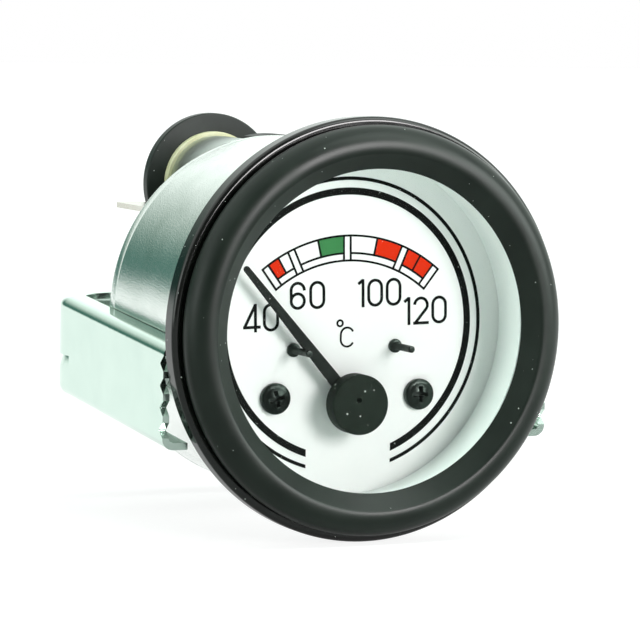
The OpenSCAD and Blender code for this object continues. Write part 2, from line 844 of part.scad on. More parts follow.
module magnetic_shield() {
    color("#9ea3a6") difference() {
        rod(shield_r, plate_back, shield_back, 0, axis_z);
        rod(shield_r - shield_wall, plate_back - 1, shield_back - shield_wall, 0, axis_z);
    }
}

module circuit_board() {
    color("#8a6a35") slab(board_front, board_back) difference() {
        circle(r = board_r);
        translate([-case_r, board_top]) square([case_d, case_d]);
        for (side = [-1, 1])
            translate([side * pillar_x, pillar_z]) circle(d = pillar_d + 2 * pass_gap);
    }
}

// It lies on the board's front, above the screening can.
module resistor() {
    y = board_front - resistor_d / 2 - seat_gap;
    z = axis_z + shield_r + resistor_up + resistor_d / 2;
    lead_x = resistor_len / 2 + lead_out - lead_r;
    color("#6f8f86") {
        translate([0, y, z]) rotate([0, 90, 0]) {
            cylinder(d = resistor_d, h = resistor_len, center = true);
            cylinder(r = lead_r, h = resistor_len + 2 * lead_out, center = true);
        }
        for (side = [-1, 1]) rod(lead_r, y, board_front, side * lead_x, z);
    }
}

module dial_pillars() {
    color("#b9b39b") for (side = [-1, 1])
        rod(pillar_d / 2, dial_back, floor_in, side * pillar_x, pillar_z);
}

// The rear of the case
module terminal_plate() {
    back = case_len + terminal_t;
    color("#232423") difference() {
        union() {
            rod(terminal_d / 2, case_len, back, terminal_x, terminal_z);
            slab(floor_in - boss_in, case_len + boss_lap) translate([blade_x, blade_z])
                square([terminal_boss_w, terminal_boss_h], center = true);
        }
        rod(neck_r + neck_gap, case_len - 1, back + 1, lamp_x, lamp_z);
        for (side = [-1, 1]) blade_slot(side);
    }
}

module blade_slot(side) {
    x = blade_x + side * blade_pitch / 2;
    block([x - blade_t / 2 - seat_gap, floor_in - boss_in - 1, blade_z - blade_w / 2 - seat_gap],
        [x + blade_t / 2 + seat_gap, case_len + terminal_t + 1, blade_z + blade_w / 2 + seat_gap]);
}

module terminal_blades() {
    tip = case_len + terminal_t + blade_len;
    color("#c9c7bd") for (side = [-1, 1]) translate([blade_x + side * blade_pitch / 2, 0, blade_z])
        difference() {
            translate([-blade_t / 2, 0, 0]) blade_outline(blade_w, board_back, tip);
            translate([0, tip - latch_from_tip, 0]) rotate([0, 90, 0])
                cylinder(r = latch_r, h = blade_t + 2, center = true);
        }
}

// A standing blade from y0 to the tip at y1, with its corners cut.
module blade_outline(w, y0, y1) {
    nip = 1;
    rotate([0, 90, 0]) rotate([0, 0, 90]) linear_extrude(height = blade_t)
        polygon([[y0, -w / 2], [y1 - nip, -w / 2], [y1, nip - w / 2], [y1, w / 2 - nip],
            [y1 - nip, w / 2], [y0, w / 2]]);
}

module earth_blade() {
    foot_back = case_len + blade_t;
    color("#d4d1c6") difference() {
        union() {
            translate([earth_x, 0, earth_z]) rotate([0, 90, 0]) translate([-blade_t / 2, 0, 0])
                blade_outline(earth_w, case_len, case_len + earth_len);
            block([earth_x - earth_w / 2, case_len, earth_z - earth_foot],
                [earth_x + earth_w / 2, foot_back, earth_z]);
        }
        rod(rivet_r + seat_gap, case_len - 1, foot_back + 1, earth_x, rivet_z);
    }
}

module earth_rivet() {
    foot_back = case_len + blade_t;
    color("#b9b6aa") union() {
        rod(rivet_r, floor_in - rivet_head_h, foot_back, earth_x, rivet_z);
        rod(rivet_head_r, foot_back, foot_back + rivet_head_h, earth_x, rivet_z);
        rod(rivet_head_r, floor_in - rivet_head_h, floor_in, earth_x, rivet_z);
    }
}

module bracket_studs() {
    tip = 0.6;
    color("#c5c8c6") for (side = [-1, 1]) translate([side * stud_x, 0, stud_z]) {
        rod(stud_head_r, floor_in - stud_head_h, floor_in);
        rod(stud_r, floor_in, stud_end - tip);
        translate([0, stud_end - tip, 0]) rotate([-90, 0, 0])
            cylinder(r1 = stud_r, r2 = stud_r - tip / 2, h = tip);
    }
}

// A hexagonal nut on a stud, from y0 to y1.
module hex_nut(x, y0, y1, bore) {
    difference() {
        translate([x, y0, stud_z]) rotate([-90, 0, 0]) cylinder(r = nut_r, h = y1 - y0, $fn = 6);
        rod(bore, y0 - 1, y1 + 1, x, stud_z);
    }
}

module case_nuts() {
    color("#c9cbc8") for (side = [-1, 1])
        hex_nut(side * stud_x, case_len, case_len + thin_nut_h, stud_r + seat_gap);
}

// What turns with the needle
module pointer_needle() {
    root = needle_root_w / 2;
    tip = needle_tip_w / 2;
    color("#1a1b1a") pointer_turn() difference() {
        union() {
            slab(needle_front, needle_back)
                polygon([[-root, 0], [-tip, needle_len - tip], [-tip / 2, needle_len],
                    [tip / 2, needle_len], [tip, needle_len - tip], [root, 0]]);
            rod(root + needle_eye_wall, needle_front, needle_back);
        }
        rod(hub_boss_r + seat_gap, needle_front - 1, needle_back + 1);
    }
}

// Turns a piece about the pointer's axis, from straight up to its place at rest.
module pointer_turn() {
    translate([0, 0, axis_z]) rotate([0, -needle_rest, 0]) children();
}

module pointer_hub() {
    r = hub_d / 2;
    color("#242624") difference() {
        union() {
            translate([0, 0, axis_z]) turned() {
                translate([0, hub_front]) square([r - hub_edge_r, needle_front - hub_front]);
                translate([0, hub_front + hub_edge_r]) square([r, needle_front - hub_front - hub_edge_r]);
                translate([r - hub_edge_r, hub_front + hub_edge_r]) circle(r = hub_edge_r, $fn = 32);
            }
            rod(hub_boss_r, hub_front + hub_bore_depth, needle_back + hub_boss_len, 0, axis_z);
        }
        rod(spindle_r + seat_gap / 2, hub_front + hub_bore_depth, dial_y, 0, axis_z);
        rod(hub_mark_r, hub_front - 1, hub_front + hub_mark_depth, hub_mark_x, axis_z + hub_mark_up);
    }
}

module pointer_spindle() {
    color("#b8bcc0") rod(spindle_r, hub_front + hub_bore_depth, spindle_end, 0, axis_z);
}

module rotor_magnet() {
    color("#4b4f54") difference() {
        rod(rotor_d / 2, rotor_front, rotor_front + rotor_len, 0, axis_z);
        rod(spindle_r + seat_gap / 2, rotor_front - 1, rotor_front + rotor_len + 1, 0, axis_z);
    }
}

// The clamp bracket
// Section of the channel: its web's outer face is x = 0 and its flanges point towards +X.
module channel2d(h) {
    difference() {
        rounded_edge2d(flange_w, h, bend_r);
        translate([bracket_t, bracket_t])
            rounded_edge2d(flange_w, h - 2 * bracket_t, bend_r - bracket_t);
    }
}

// A rectangle whose two corners at x = 0 are round.
module rounded_edge2d(w, h, r) {
    translate([r, 0]) square([w - r, h]);
    translate([0, r]) square([w, h - 2 * r]);
    for (y = [r, h - r]) translate([r, y]) circle(r = r, $fn = 48);
}

// One leg, on the right. It runs down towards the feet and ends square at both ends.
// It is a small step smaller than the corner all round, so that no two of their faces nearly meet.
module bracket_leg() {
    x = bracket_w / 2 - leg_step;
    low = bracket_top - bracket_h + leg_step;
    run = corner_y - foot_gap;
    difference() {
        intersection() {
            translate([x, corner_y, low]) rotate([slope, 0, 0]) translate([0, over, 0])
                rotate([90, 0, 0]) linear_extrude(height = run / cos(slope) + 2 * over)
                    mirror([1, 0]) channel2d((bracket_h - 2 * leg_step) * cos(slope));
            block([0, foot_gap, low - 2 * over], [x + 1, corner_y, bracket_top + 2 * over]);
        }
        foot_teeth(x);
    }
}

// The notches between the teeth on the foot's front edge.
module foot_teeth(x) {
    foot_top = bracket_top - bracket_drop;
    for (i = [0 : tooth_count - 1])
        translate([x - flange_w - 1, foot_gap, foot_top - first_tooth - i * tooth_pitch])
            rotate([90, 0, 90]) linear_extrude(height = flange_w + 2) polygon([[-1, -tooth_half],
                [0, -tooth_half], [tooth_depth, 0], [0, tooth_half], [-1, tooth_half]]);
}

// The corner between leg and bridge, on the right.
module bracket_corner() {
    x = bracket_w / 2 - corner_r;
    low = bracket_top - bracket_h;
    translate([x, corner_y, low]) rotate_extrude(angle = 90)
        translate([corner_r, 0]) mirror([1, 0]) channel2d(bracket_h);
}

// Section of the dart: steep above and slack below. The sheet's outer face is x = corner_r.
module dart2d() {
    polygon([[corner_r + 1, dart_z], [corner_r - dart_depth, dart_z - dart_depth],
        [corner_r, dart_z - dart_h], [corner_r + 1, dart_z - dart_h]]);
}

// What the dart takes out of the right corner, the leg and the bridge.
module dart_cut() {
    translate([bracket_w / 2 - corner_r, corner_y, 0]) {
        rotate_extrude(angle = 90) dart2d();
        rotate([90, 0, 0]) linear_extrude(height = dart_reach) dart2d();
        translate([-dart_reach, 0, 0]) rotate([0, 0, 90]) rotate([90, 0, 0])
            linear_extrude(height = dart_reach) dart2d();
    }
}

module u_bracket() {
    low = bracket_top - bracket_h;
    half = bracket_w / 2 - corner_r;
    color("#c3c9c7") difference() {
        union() {
            for (side = [0, 1]) mirror([side, 0, 0]) {
                bracket_leg();
                bracket_corner();
            }
            translate([-half, bracket_len, low]) rotate([90, 0, 90]) linear_extrude(height = 2 * half)
                mirror([1, 0]) channel2d(bracket_h);
        }
        for (side = [-1, 1])
            rod(stud_r + pass_gap, bracket_len - 2, bracket_len + 1, side * stud_x, stud_z);
        for (side = [0, 1]) mirror([side, 0, 0]) dart_cut();
    }
}

module bracket_washers() {
    color("#b4b9bb") for (side = [-1, 1]) difference() {
        rod(washer_d / 2, bracket_len, bracket_len + washer_t, side * stud_x, stud_z);
        rod(stud_r + pass_gap, bracket_len - 1, bracket_len + washer_t + 1, side * stud_x, stud_z);
    }
}

module nut_left() {
    color("#cfd1cd") hex_nut(-stud_x, nut_front, nut_front + nut_h, stud_r + run_gap);
}

module nut_right() {
    color("#cfd1cd") hex_nut(stud_x, nut_front, nut_front + nut_h, stud_r + run_gap);
}

// The lamp holder, which pulls out of the case
module lamp_sleeve() {
    color("#6c726f") difference() {
        union() {
            rod(spigot_r, spigot_front, neck_front, lamp_x, lamp_z);
            rod(neck_r, neck_front, collar_front, lamp_x, lamp_z);
        }
        rod(bulb_bore_r, spigot_front - 1, lamp_bore_end, lamp_x, lamp_z);
    }
}

module lamp_collar() {
    color("#ece6cf") rod(collar_d / 2, collar_front, cap_y, lamp_x, lamp_z);
}

module lamp_cap() {
    color("#262827") rod(cap_r, cap_y, cap_y + cap_t, lamp_x, lamp_z);
}

module lamp_contact() {
    color("#c9a24a") rod(contact_r, base_back, lamp_bore_end, lamp_x, lamp_z);
}

module lamp_blade() {
    color("#c9c7bd") translate([lamp_x, 0, lamp_z]) rotate([0, 90, 0]) translate([-blade_t / 2, 0, 0])
        blade_outline(blade_w, cap_y + cap_t, cap_y + cap_t + lamp_blade_len);
}

module bulb_base() {
    color("#c8b27a") rod(bulb_r, base_front, base_back, lamp_x, lamp_z);
}

module bulb_glass() {
    color([0.95, 0.95, 0.9, 0.5]) translate([lamp_x, 0, lamp_z]) {
        rod(bulb_glass_r, base_front - bulb_glass_len + bulb_glass_r, base_front);
        translate([0, base_front - bulb_glass_len + bulb_glass_r, 0]) sphere(r = bulb_glass_r);
    }
}

case_can();
clamp_ring();
bezel();
glass();
glass_seal();
spacer_ring();
dial_plate();
dial_print_black();
dial_print_red();
dial_print_green();
dial_screws();
stop_pins();
movement_plate();
bobbin_front();
bobbin_rear();
coil_main();
coil_cross();
bearing_front();
bearing_rear();
magnetic_shield();
circuit_board();
resistor();
dial_pillars();
terminal_plate();
terminal_blades();
earth_blade();
earth_rivet();
bracket_studs();
case_nuts();
pointer_needle();
pointer_hub();
pointer_spindle();
rotor_magnet();
u_bracket();
bracket_washers();
nut_left();
nut_right();
lamp_sleeve();
lamp_collar();
lamp_cap();
lamp_contact();
lamp_blade();
bulb_base();
bulb_glass();
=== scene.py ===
"""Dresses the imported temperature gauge: finer visible pieces, finishes, and the studio it is seen in.

The gauge's axis is Y: the dial faces -Y, +X is to the right and +Z is up. Sizes are in millimetres
and become metres when a mesh is made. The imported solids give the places, and the pieces made here
stand for the solids whose curves, edges or threads need more than the frame carries.
"""
import json
import logging
import math
from dataclasses import dataclass
from enum import Enum
from typing import Any, Callable, Iterable, Sequence

import bmesh
import bpy
from mathutils import Matrix, Vector


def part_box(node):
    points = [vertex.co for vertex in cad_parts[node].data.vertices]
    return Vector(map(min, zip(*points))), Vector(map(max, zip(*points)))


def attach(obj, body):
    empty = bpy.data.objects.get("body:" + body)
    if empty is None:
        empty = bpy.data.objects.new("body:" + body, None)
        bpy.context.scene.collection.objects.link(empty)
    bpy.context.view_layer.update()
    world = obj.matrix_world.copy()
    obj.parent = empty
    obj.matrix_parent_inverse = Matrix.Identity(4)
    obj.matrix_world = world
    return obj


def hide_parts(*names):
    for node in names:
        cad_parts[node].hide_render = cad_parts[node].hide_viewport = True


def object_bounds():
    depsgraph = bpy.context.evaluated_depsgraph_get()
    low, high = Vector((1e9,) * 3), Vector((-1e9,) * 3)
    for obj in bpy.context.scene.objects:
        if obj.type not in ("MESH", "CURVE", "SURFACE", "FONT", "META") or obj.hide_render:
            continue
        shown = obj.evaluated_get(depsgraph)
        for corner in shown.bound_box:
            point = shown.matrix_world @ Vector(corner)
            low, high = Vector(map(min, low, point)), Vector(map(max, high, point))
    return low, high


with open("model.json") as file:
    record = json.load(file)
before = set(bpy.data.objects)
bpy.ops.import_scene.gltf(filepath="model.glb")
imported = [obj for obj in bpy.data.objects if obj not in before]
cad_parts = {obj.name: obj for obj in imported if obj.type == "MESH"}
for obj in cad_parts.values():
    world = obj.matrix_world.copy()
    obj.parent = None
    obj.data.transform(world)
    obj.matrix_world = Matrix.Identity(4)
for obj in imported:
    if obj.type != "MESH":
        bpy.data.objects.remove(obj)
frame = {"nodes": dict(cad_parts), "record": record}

MM = 0.001
CAD_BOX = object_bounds()

Point = tuple[float, float]
Station = tuple[Point, Point, float]
Colour = tuple[float, float, float, float]

log = logging.getLogger("gauge")


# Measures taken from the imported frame


@dataclass(frozen=True)
class Extent:
    """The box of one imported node, in millimetres."""

    low: Vector
    high: Vector

    @property
    def centre(self) -> Vector:
        """The middle of the box."""
        return (self.low + self.high) / 2

    @property
    def size(self) -> Vector:
        """The box's three sides."""
        return self.high - self.low


def extent(node: str) -> Extent:
    """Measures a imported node.

    Args:
        node: The node's name.

    Returns:
        Its box in millimetres.
    """
    low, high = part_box(node)
    return Extent(low / MM, high / MM)


# Outlines and meshes


def arc(centre: Point, radius: float, start: float, end: float, steps: int) -> list[Point]:
    """Lists the points of an arc.

    Args:
        centre: The arc's centre.
        radius: Its radius.
        start: The first point's angle in degrees.
        end: The last point's angle in degrees.
        steps: The number of chords.

    Returns:
        The points, both ends included.
    """
    turn = [math.radians(start + (end - start) * i / steps) for i in range(steps + 1)]
    return [(centre[0] + radius * math.cos(a), centre[1] + radius * math.sin(a)) for a in turn]


def rounded(corners: Sequence[tuple[float, float, float]], steps: int = 6) -> list[Point]:
    """Rounds the corners of a closed outline.

    Args:
        corners: Each corner's two coordinates and its radius, where 0 leaves it sharp.
        steps: The chords of each round.

    Returns:
        The outline's points.
    """
    points: list[Point] = []
    for i, (x, y, radius) in enumerate(corners):
        here = Vector((x, y))
        if radius <= 0:
            points.append((x, y))
            continue
        before = Vector(corners[i - 1][:2]) - here
        after = Vector(corners[(i + 1) % len(corners)][:2]) - here
        half = before.angle(after) / 2
        reach = radius / math.tan(half)
        middle = here + (before.normalized() + after.normalized()).normalized() * (radius / math.sin(half))
        first = here + before.normalized() * reach - middle
        last = here + after.normalized() * reach - middle
        start = math.atan2(first.y, first.x)
        sweep = (math.atan2(last.y, last.x) - start + math.pi) % (2 * math.pi) - math.pi
        for k in range(steps + 1):
            a = start + sweep * k / steps
            points.append((middle.x + radius * math.cos(a), middle.y + radius * math.sin(a)))
    return points


def make_object(name: str, mesh: bpy.types.Mesh) -> bpy.types.Object:
    """Links a mesh to the scene under a name."""
    made = bpy.data.objects.new(name, mesh)
    bpy.context.scene.collection.objects.link(made)
    return made


def from_faces(name: str, points: Iterable[Sequence[float]], faces: Iterable[Sequence[int]],
               smooth_angle: float = 35.0) -> bpy.types.Object:
    """Makes a closed mesh with outward faces.

    Args:
        name: The piece's name.
        points: The vertices in millimetres.
        faces: The faces, as vertex numbers.
        smooth_angle: Edges bent by more degrees than this stay sharp.

    Returns:
        The new object at the origin, in metres.
    """
    mesh = bpy.data.meshes.new(name)
    mesh.from_pydata([Vector(p) * MM for p in points], [], [list(f) for f in faces])
    shape = bmesh.new()
    shape.from_mesh(mesh)
    bmesh.ops.remove_doubles(shape, verts=shape.verts, dist=1e-7)
    bmesh.ops.recalc_face_normals(shape, faces=shape.faces)
    shape.to_mesh(mesh)
    shape.free()
    smooth(mesh, smooth_angle)
    return make_object(name, mesh)


def smooth(mesh: bpy.types.Mesh, angle: float = 35.0) -> None:
    """Shades a mesh smooth except across edges bent by more than the angle in degrees."""
    mesh.shade_smooth()
    mesh.set_sharp_from_angle(angle=math.radians(angle))


def turned(name: str, outline: Sequence[Point], centre: Point = (0.0, 0.0), around: int = 192,
           smooth_angle: float = 35.0) -> bpy.types.Object:
    """Spins a closed outline round a line along Y.

    Args:
        name: The piece's name.
        outline: Closed outline as (radius, y). Points at radius 0 lie on the line.
        centre: The line's x and z.
        around: Steps round the circle.
        smooth_angle: Edges bent by more degrees than this stay sharp.

    Returns:
        The turned piece.
    """
    points: list[tuple[float, float, float]] = []
    rows: list[list[int]] = []
    for radius, y in outline:
        count = 1 if radius < 1e-6 else around
        rows.append(list(range(len(points), len(points) + count)))
        for k in range(count):
            a = 2 * math.pi * k / around
            points.append((centre[0] + radius * math.cos(a), y, centre[1] + radius * math.sin(a)))
    faces: list[list[int]] = []
    for row, following in zip(rows, rows[1:] + rows[:1]):
        if len(row) == 1 and len(following) == 1:
            continue
        for k in range(around):
            n = (k + 1) % around
            loop = [row[k % len(row)], row[n % len(row)], following[n % len(following)],
                    following[k % len(following)]]
            faces.append(list(dict.fromkeys(loop)))
    return from_faces(name, points, faces, smooth_angle)


def extruded(name: str, outline: Sequence[Point], low: float, high: float, axis: str = "Y",
             smooth_angle: float = 35.0) -> bpy.types.Object:
    """Extrudes a flat closed outline along a row axis.

    Args:
        name: The piece's name.
        outline: Points in the plane of the other two axes, in X, Y, Z order.
        low: Where the extrusion starts on the axis.
        high: Where it ends.
        axis: "X" or "Y".
        smooth_angle: Edges bent by more degrees than this stay sharp.

    Returns:
        The extruded piece.
    """
    along = {"X": lambda a, b, t: (t, a, b), "Y": lambda a, b, t: (a, t, b)}[axis]
    n = len(outline)
    points = [along(a, b, t) for t in (low, high) for a, b in outline]
    faces = [[i, (i + 1) % n, n + (i + 1) % n, n + i] for i in range(n)]
    return from_faces(name, points, faces + [list(range(n)), list(range(n, 2 * n))], smooth_angle)


def settle(piece: bpy.types.Object) -> bpy.types.Object:
    """Turns a piece's evaluated shape into its plain mesh and drops the modifiers."""
    bpy.context.view_layer.update()
    shown = piece.evaluated_get(bpy.context.evaluated_depsgraph_get())
    mesh = bpy.data.meshes.new_from_object(shown)
    piece.modifiers.clear()
    piece.data = mesh
    return piece


def carve(piece: bpy.types.Object, tools: Sequence[bpy.types.Object],
          operation: str = "DIFFERENCE", smooth_angle: float = 35.0) -> bpy.types.Object:
    """Cuts, joins or keeps what the tools cover, and removes the tools.

    Args:
        piece: The piece that changes.
        tools: Closed pieces.
        operation: The boolean operation's name.
        smooth_angle: Edges bent by more degrees than this stay sharp.

    Returns:
        The same piece.
    """
    for tool in tools:
        step = piece.modifiers.new("carve", "BOOLEAN")
        step.operation = operation
        step.solver = "EXACT"
        step.object = tool
    settle(piece)
    for tool in tools:
        bpy.data.objects.remove(tool)
    smooth(piece.data, smooth_angle)
    return piece


def soften(piece: bpy.types.Object, width: float, angle: float = 40.0, steps: int = 3) -> bpy.types.Object:
    """Breaks a piece's sharp edges.

    Args:
        piece: The piece that changes.
        width: The bevel's width in millimetres.
        angle: Only edges bent by more degrees than this are broken.
        steps: The bevel's segments.

    Returns:
        The same piece.
    """
    bevel = piece.modifiers.new("edges", "BEVEL")
    bevel.width = width * MM
    bevel.segments = steps
    bevel.limit_method = "ANGLE"
    bevel.angle_limit = math.radians(angle)
    bevel.use_clamp_overlap = True
    settle(piece)
    smooth(piece.data, 50.0)
    return piece


def even_shading(piece: bpy.types.Object) -> bpy.types.Object:
    """Weighs a piece's normals by face area, so that flat faces shade flat beside their rounds."""
    weigh = piece.modifiers.new("shading", "WEIGHTED_NORMAL")
    weigh.keep_sharp = True
    weigh.weight = 80
    return settle(piece)


# Nodes and colours


def linear(code: str, alpha: float = 1.0) -> Colour:
    """Turns an sRGB hex colour such as "#262726" into linear values."""
    parts = [int(code[i:i + 2], 16) / 255 for i in (1, 3, 5)]
    red, green, blue = [c / 12.92 if c <= 0.04045 else ((c + 0.055) / 1.055) ** 2.4 for c in parts]
    return (red, green, blue, alpha)


def add(tree: bpy.types.NodeTree, kind: str, values: dict[Any, Any] | None = None,
        links: dict[Any, bpy.types.NodeSocket] | None = None, **settings: Any) -> bpy.types.Node:
    """Adds a node with its settings, its input values and the links into it.

    Args:
        tree: The node tree.
        kind: The node's type name.
        values: Input values by socket name or number.
        links: Source sockets by the input's name or number.
        **settings: Properties of the node.

    Returns:
        The new node.
    """
    made = tree.nodes.new(kind)
    for key, value in settings.items():
        setattr(made, key, value)
    for key, value in (values or {}).items():
        made.inputs[key].default_value = value
    for key, source in (links or {}).items():
        tree.links.new(source, made.inputs[key])
    return made


def per_metre(size_mm: float) -> float:
    """The texture scale that gives features of a size in millimetres on Object coordinates."""
    return 1000.0 / size_mm


# Finishes


@dataclass(frozen=True)
class Finish:
    """What every finish has: a name, a base colour and a roughness."""

    name: str
    colour: str
    roughness: float = 0.5
    specular: float = 0.5

    def start(self) -> tuple[bpy.types.Material, bpy.types.NodeTree, bpy.types.Node, bpy.types.Node]:
        """Makes the material.

        Returns:
            The material, its tree, its shader and its Object coordinates.
        """
        material = bpy.data.materials.new(self.name)
        material.use_nodes = True
        tree = material.node_tree
        tree.nodes.clear()
        shader = add(tree, "ShaderNodeBsdfPrincipled", {"Base Color": linear(self.colour),
                                                        "Roughness": self.roughness,
                                                        "Specular IOR Level": self.specular})
        add(tree, "ShaderNodeOutputMaterial", links={"Surface": shader.outputs["BSDF"]})
        material.diffuse_color = linear(self.colour)
        return material, tree, shader, add(tree, "ShaderNodeTexCoord")

    def make(self) -> bpy.types.Material:
        """Builds the material's nodes."""
        return self.start()[0]


@dataclass(frozen=True)
class Moulding(Finish):
    """A moulded or painted surface: fine grain, uneven sheen, and dust where it has settled."""

    light: str = "#000000"
    grain: float = 0.25
    relief: float = 0.01
    sheen_spread: float = 0.08
    mottle: float = 2.5
    dust: float = 0.0
    dust_pitch: float = 1.9
    dust_share: float = 0.45

    def make(self) -> bpy.types.Material:
        """Builds the material's nodes."""
        material, tree, shader, coords = self.start()
        where = coords.outputs["Object"]
        grain = add(tree, "ShaderNodeTexNoise", {"Scale": per_metre(self.grain), "Detail": 3.0,
                                                 "Roughness": 0.6}, {"Vector": where})
        bump = add(tree, "ShaderNodeBump", {"Strength": 0.6, "Distance": self.relief * MM},
                   {"Height": grain.outputs["Fac"]})
        tree.links.new(bump.outputs["Normal"], shader.inputs["Normal"])
        cloud = add(tree, "ShaderNodeTexNoise", {"Scale": per_metre(self.mottle), "Detail": 4.0},
                    {"Vector": where})
        tone = add(tree, "ShaderNodeMapRange", {"From Min": 0.3, "From Max": 0.7}, {"Value": cloud.outputs["Fac"]})
        colour = add(tree, "ShaderNodeMix", data_type="RGBA")
        colour.inputs[6].default_value = linear(self.colour)
        colour.inputs[7].default_value = linear(self.light)
        tree.links.new(tone.outputs["Result"], colour.inputs[0])
        sheen = add(tree, "ShaderNodeMapRange", {"To Min": self.roughness - self.sheen_spread,
                                                 "To Max": self.roughness + self.sheen_spread},
                    {"Value": cloud.outputs["Fac"]})
        tree.links.new(sheen.outputs["Result"], shader.inputs["Roughness"])
        last = colour.outputs[2]
        if self.dust > 0:
            last = self.dusted(tree, where, last)
        tree.links.new(last, shader.inputs["Base Color"])
        return material

    def dusted(self, tree: bpy.types.NodeTree, where: bpy.types.NodeSocket,
               under: bpy.types.NodeSocket) -> bpy.types.NodeSocket:
        """Scatters pale specks of dust over a colour.

        Args:
            tree: The material's tree.
            where: The coordinates.
            under: The colour under the dust.

        Returns:
            The dusted colour.
        """
        cells = add(tree, "ShaderNodeTexVoronoi", {"Scale": per_metre(self.dust_pitch), "Randomness": 1.0},
                    {"Vector": where})
        pick = add(tree, "ShaderNodeSeparateColor", links={"Color": cells.outputs["Color"]})
        size = add(tree, "ShaderNodeMath", {1: self.dust}, {0: pick.outputs["Red"]}, operation="MULTIPLY")
        near = add(tree, "ShaderNodeMath", {}, {0: cells.outputs["Distance"], 1: size.outputs["Value"]},
                   operation="LESS_THAN")
        few = add(tree, "ShaderNodeMath", {1: self.dust_share}, {0: pick.outputs["Green"]}, operation="LESS_THAN")
        spot = add(tree, "ShaderNodeMath", {}, {0: near.outputs["Value"], 1: few.outputs["Value"]},
                   operation="MULTIPLY")
        dusty = add(tree, "ShaderNodeMix", data_type="RGBA")
        dusty.inputs[7].default_value = linear("#c9d1cb")
        tree.links.new(spot.outputs["Value"], dusty.inputs[0])
        tree.links.new(under, dusty.inputs[6])
        return dusty.outputs[2]


@dataclass(frozen=True)
class Plating(Finish):
    """Plated or bare sheet metal: brushed streaks, crystal spangle and a patchy shine."""

    patch: str = "#8d9894"
    streak: Point = (0.12, 9.0)
    streak_axis: int = 1
    spangle: float = 0.0
    spangle_size: float = 0.45
    relief: float = 0.012
    scratch: float = 1.0
    shine_spread: float = 0.06

    def make(self) -> bpy.types.Material:
        """Builds the material's nodes."""
        material, tree, shader, coords = self.start()
        shader.inputs["Metallic"].default_value = 1.0
        where = coords.outputs["Object"]
        across, along = self.streak
        stretch = [per_metre(across)] * 3
        stretch[self.streak_axis] = per_metre(along)
        mapped = add(tree, "ShaderNodeMapping", {"Scale": stretch}, {"Vector": where})
        streaks = add(tree, "ShaderNodeTexNoise", {"Scale": 1.0, "Detail": 4.0, "Roughness": 0.55},
                      {"Vector": mapped.outputs["Vector"]})
        patches = add(tree, "ShaderNodeTexNoise", {"Scale": per_metre(6.0), "Detail": 3.0}, {"Vector": where})
        rub = add(tree, "ShaderNodeMath", {1: self.scratch}, {0: streaks.outputs["Fac"]}, operation="MULTIPLY")
        height = rub.outputs["Value"]
        if self.spangle > 0:
            cells = add(tree, "ShaderNodeTexVoronoi", {"Scale": per_metre(self.spangle_size)},
                        {"Vector": where})
            mixed = add(tree, "ShaderNodeMath", {1: self.spangle}, {0: cells.outputs["Distance"], 2: height},
                        operation="MULTIPLY_ADD")
            height = mixed.outputs["Value"]
        bump = add(tree, "ShaderNodeBump", {"Strength": 0.7, "Distance": self.relief * MM}, {"Height": height})
        tree.links.new(bump.outputs["Normal"], shader.inputs["Normal"])
        tone = add(tree, "ShaderNodeMapRange", {"From Min": 0.35, "From Max": 0.75},
                   {"Value": patches.outputs["Fac"]})
        colour = add(tree, "ShaderNodeMix", data_type="RGBA")
        colour.inputs[6].default_value = linear(self.colour)
        colour.inputs[7].default_value = linear(self.patch)
        tree.links.new(tone.outputs["Result"], colour.inputs[0])
        tree.links.new(colour.outputs[2], shader.inputs["Base Color"])
        shine = add(tree, "ShaderNodeMapRange", {"To Min": self.roughness - self.shine_spread,
                                                 "To Max": self.roughness + self.shine_spread},
                    {"Value": streaks.outputs["Fac"]})
        tree.links.new(shine.outputs["Result"], shader.inputs["Roughness"])
        return material


@dataclass(frozen=True)
class Winding(Finish):
    """Enamelled copper wire, laid turn beside turn, with painted shade darkening the grooves between the turns."""

    wire: float = 0.12
    axis: str = "X"

    def make(self) -> bpy.types.Material:
        """Builds the material's nodes."""
        material, tree, shader, coords = self.start()
        shader.inputs["Metallic"].default_value = 0.85
        turns = add(tree, "ShaderNodeTexWave", {"Scale": per_metre(self.wire) / 20.0, "Distortion": 0.4},
                    {"Vector": coords.outputs["Object"]}, bands_direction=self.axis)
        bump = add(tree, "ShaderNodeBump", {"Strength": 0.9, "Distance": 0.04 * MM},
                   {"Height": turns.outputs["Fac"]})
        tree.links.new(bump.outputs["Normal"], shader.inputs["Normal"])
        # painted shade: the colour turns dark brown where the turns' bump is lowest, in the grooves between them
        groove_painted_shade = add(tree, "ShaderNodeMix", data_type="RGBA")
        groove_painted_shade.inputs[6].default_value = linear("#5e2c12")
        groove_painted_shade.inputs[7].default_value = linear(self.colour)
        tree.links.new(turns.outputs["Fac"], groove_painted_shade.inputs[0])
        tree.links.new(groove_painted_shade.outputs[2], shader.inputs["Base Color"])
        return material


@dataclass(frozen=True)
class Glazing(Finish):
    """Clear flat glass: it lets the dial show and only veils it."""

    veil: float = 0.05

    def make(self) -> bpy.types.Material:
        """Builds the material's nodes."""
        material, tree, shader, coords = self.start()
        shader.inputs["IOR"].default_value = 1.5
        smear = add(tree, "ShaderNodeTexNoise", {"Scale": per_metre(9.0), "Detail": 2.0},
                    {"Vector": coords.outputs["Object"]})
        haze = add(tree, "ShaderNodeMapRange", {"To Min": self.veil * 0.6, "To Max": self.veil * 1.4},
                   {"Value": smear.outputs["Fac"]})
        tree.links.new(haze.outputs["Result"], shader.inputs["Alpha"])
        return material


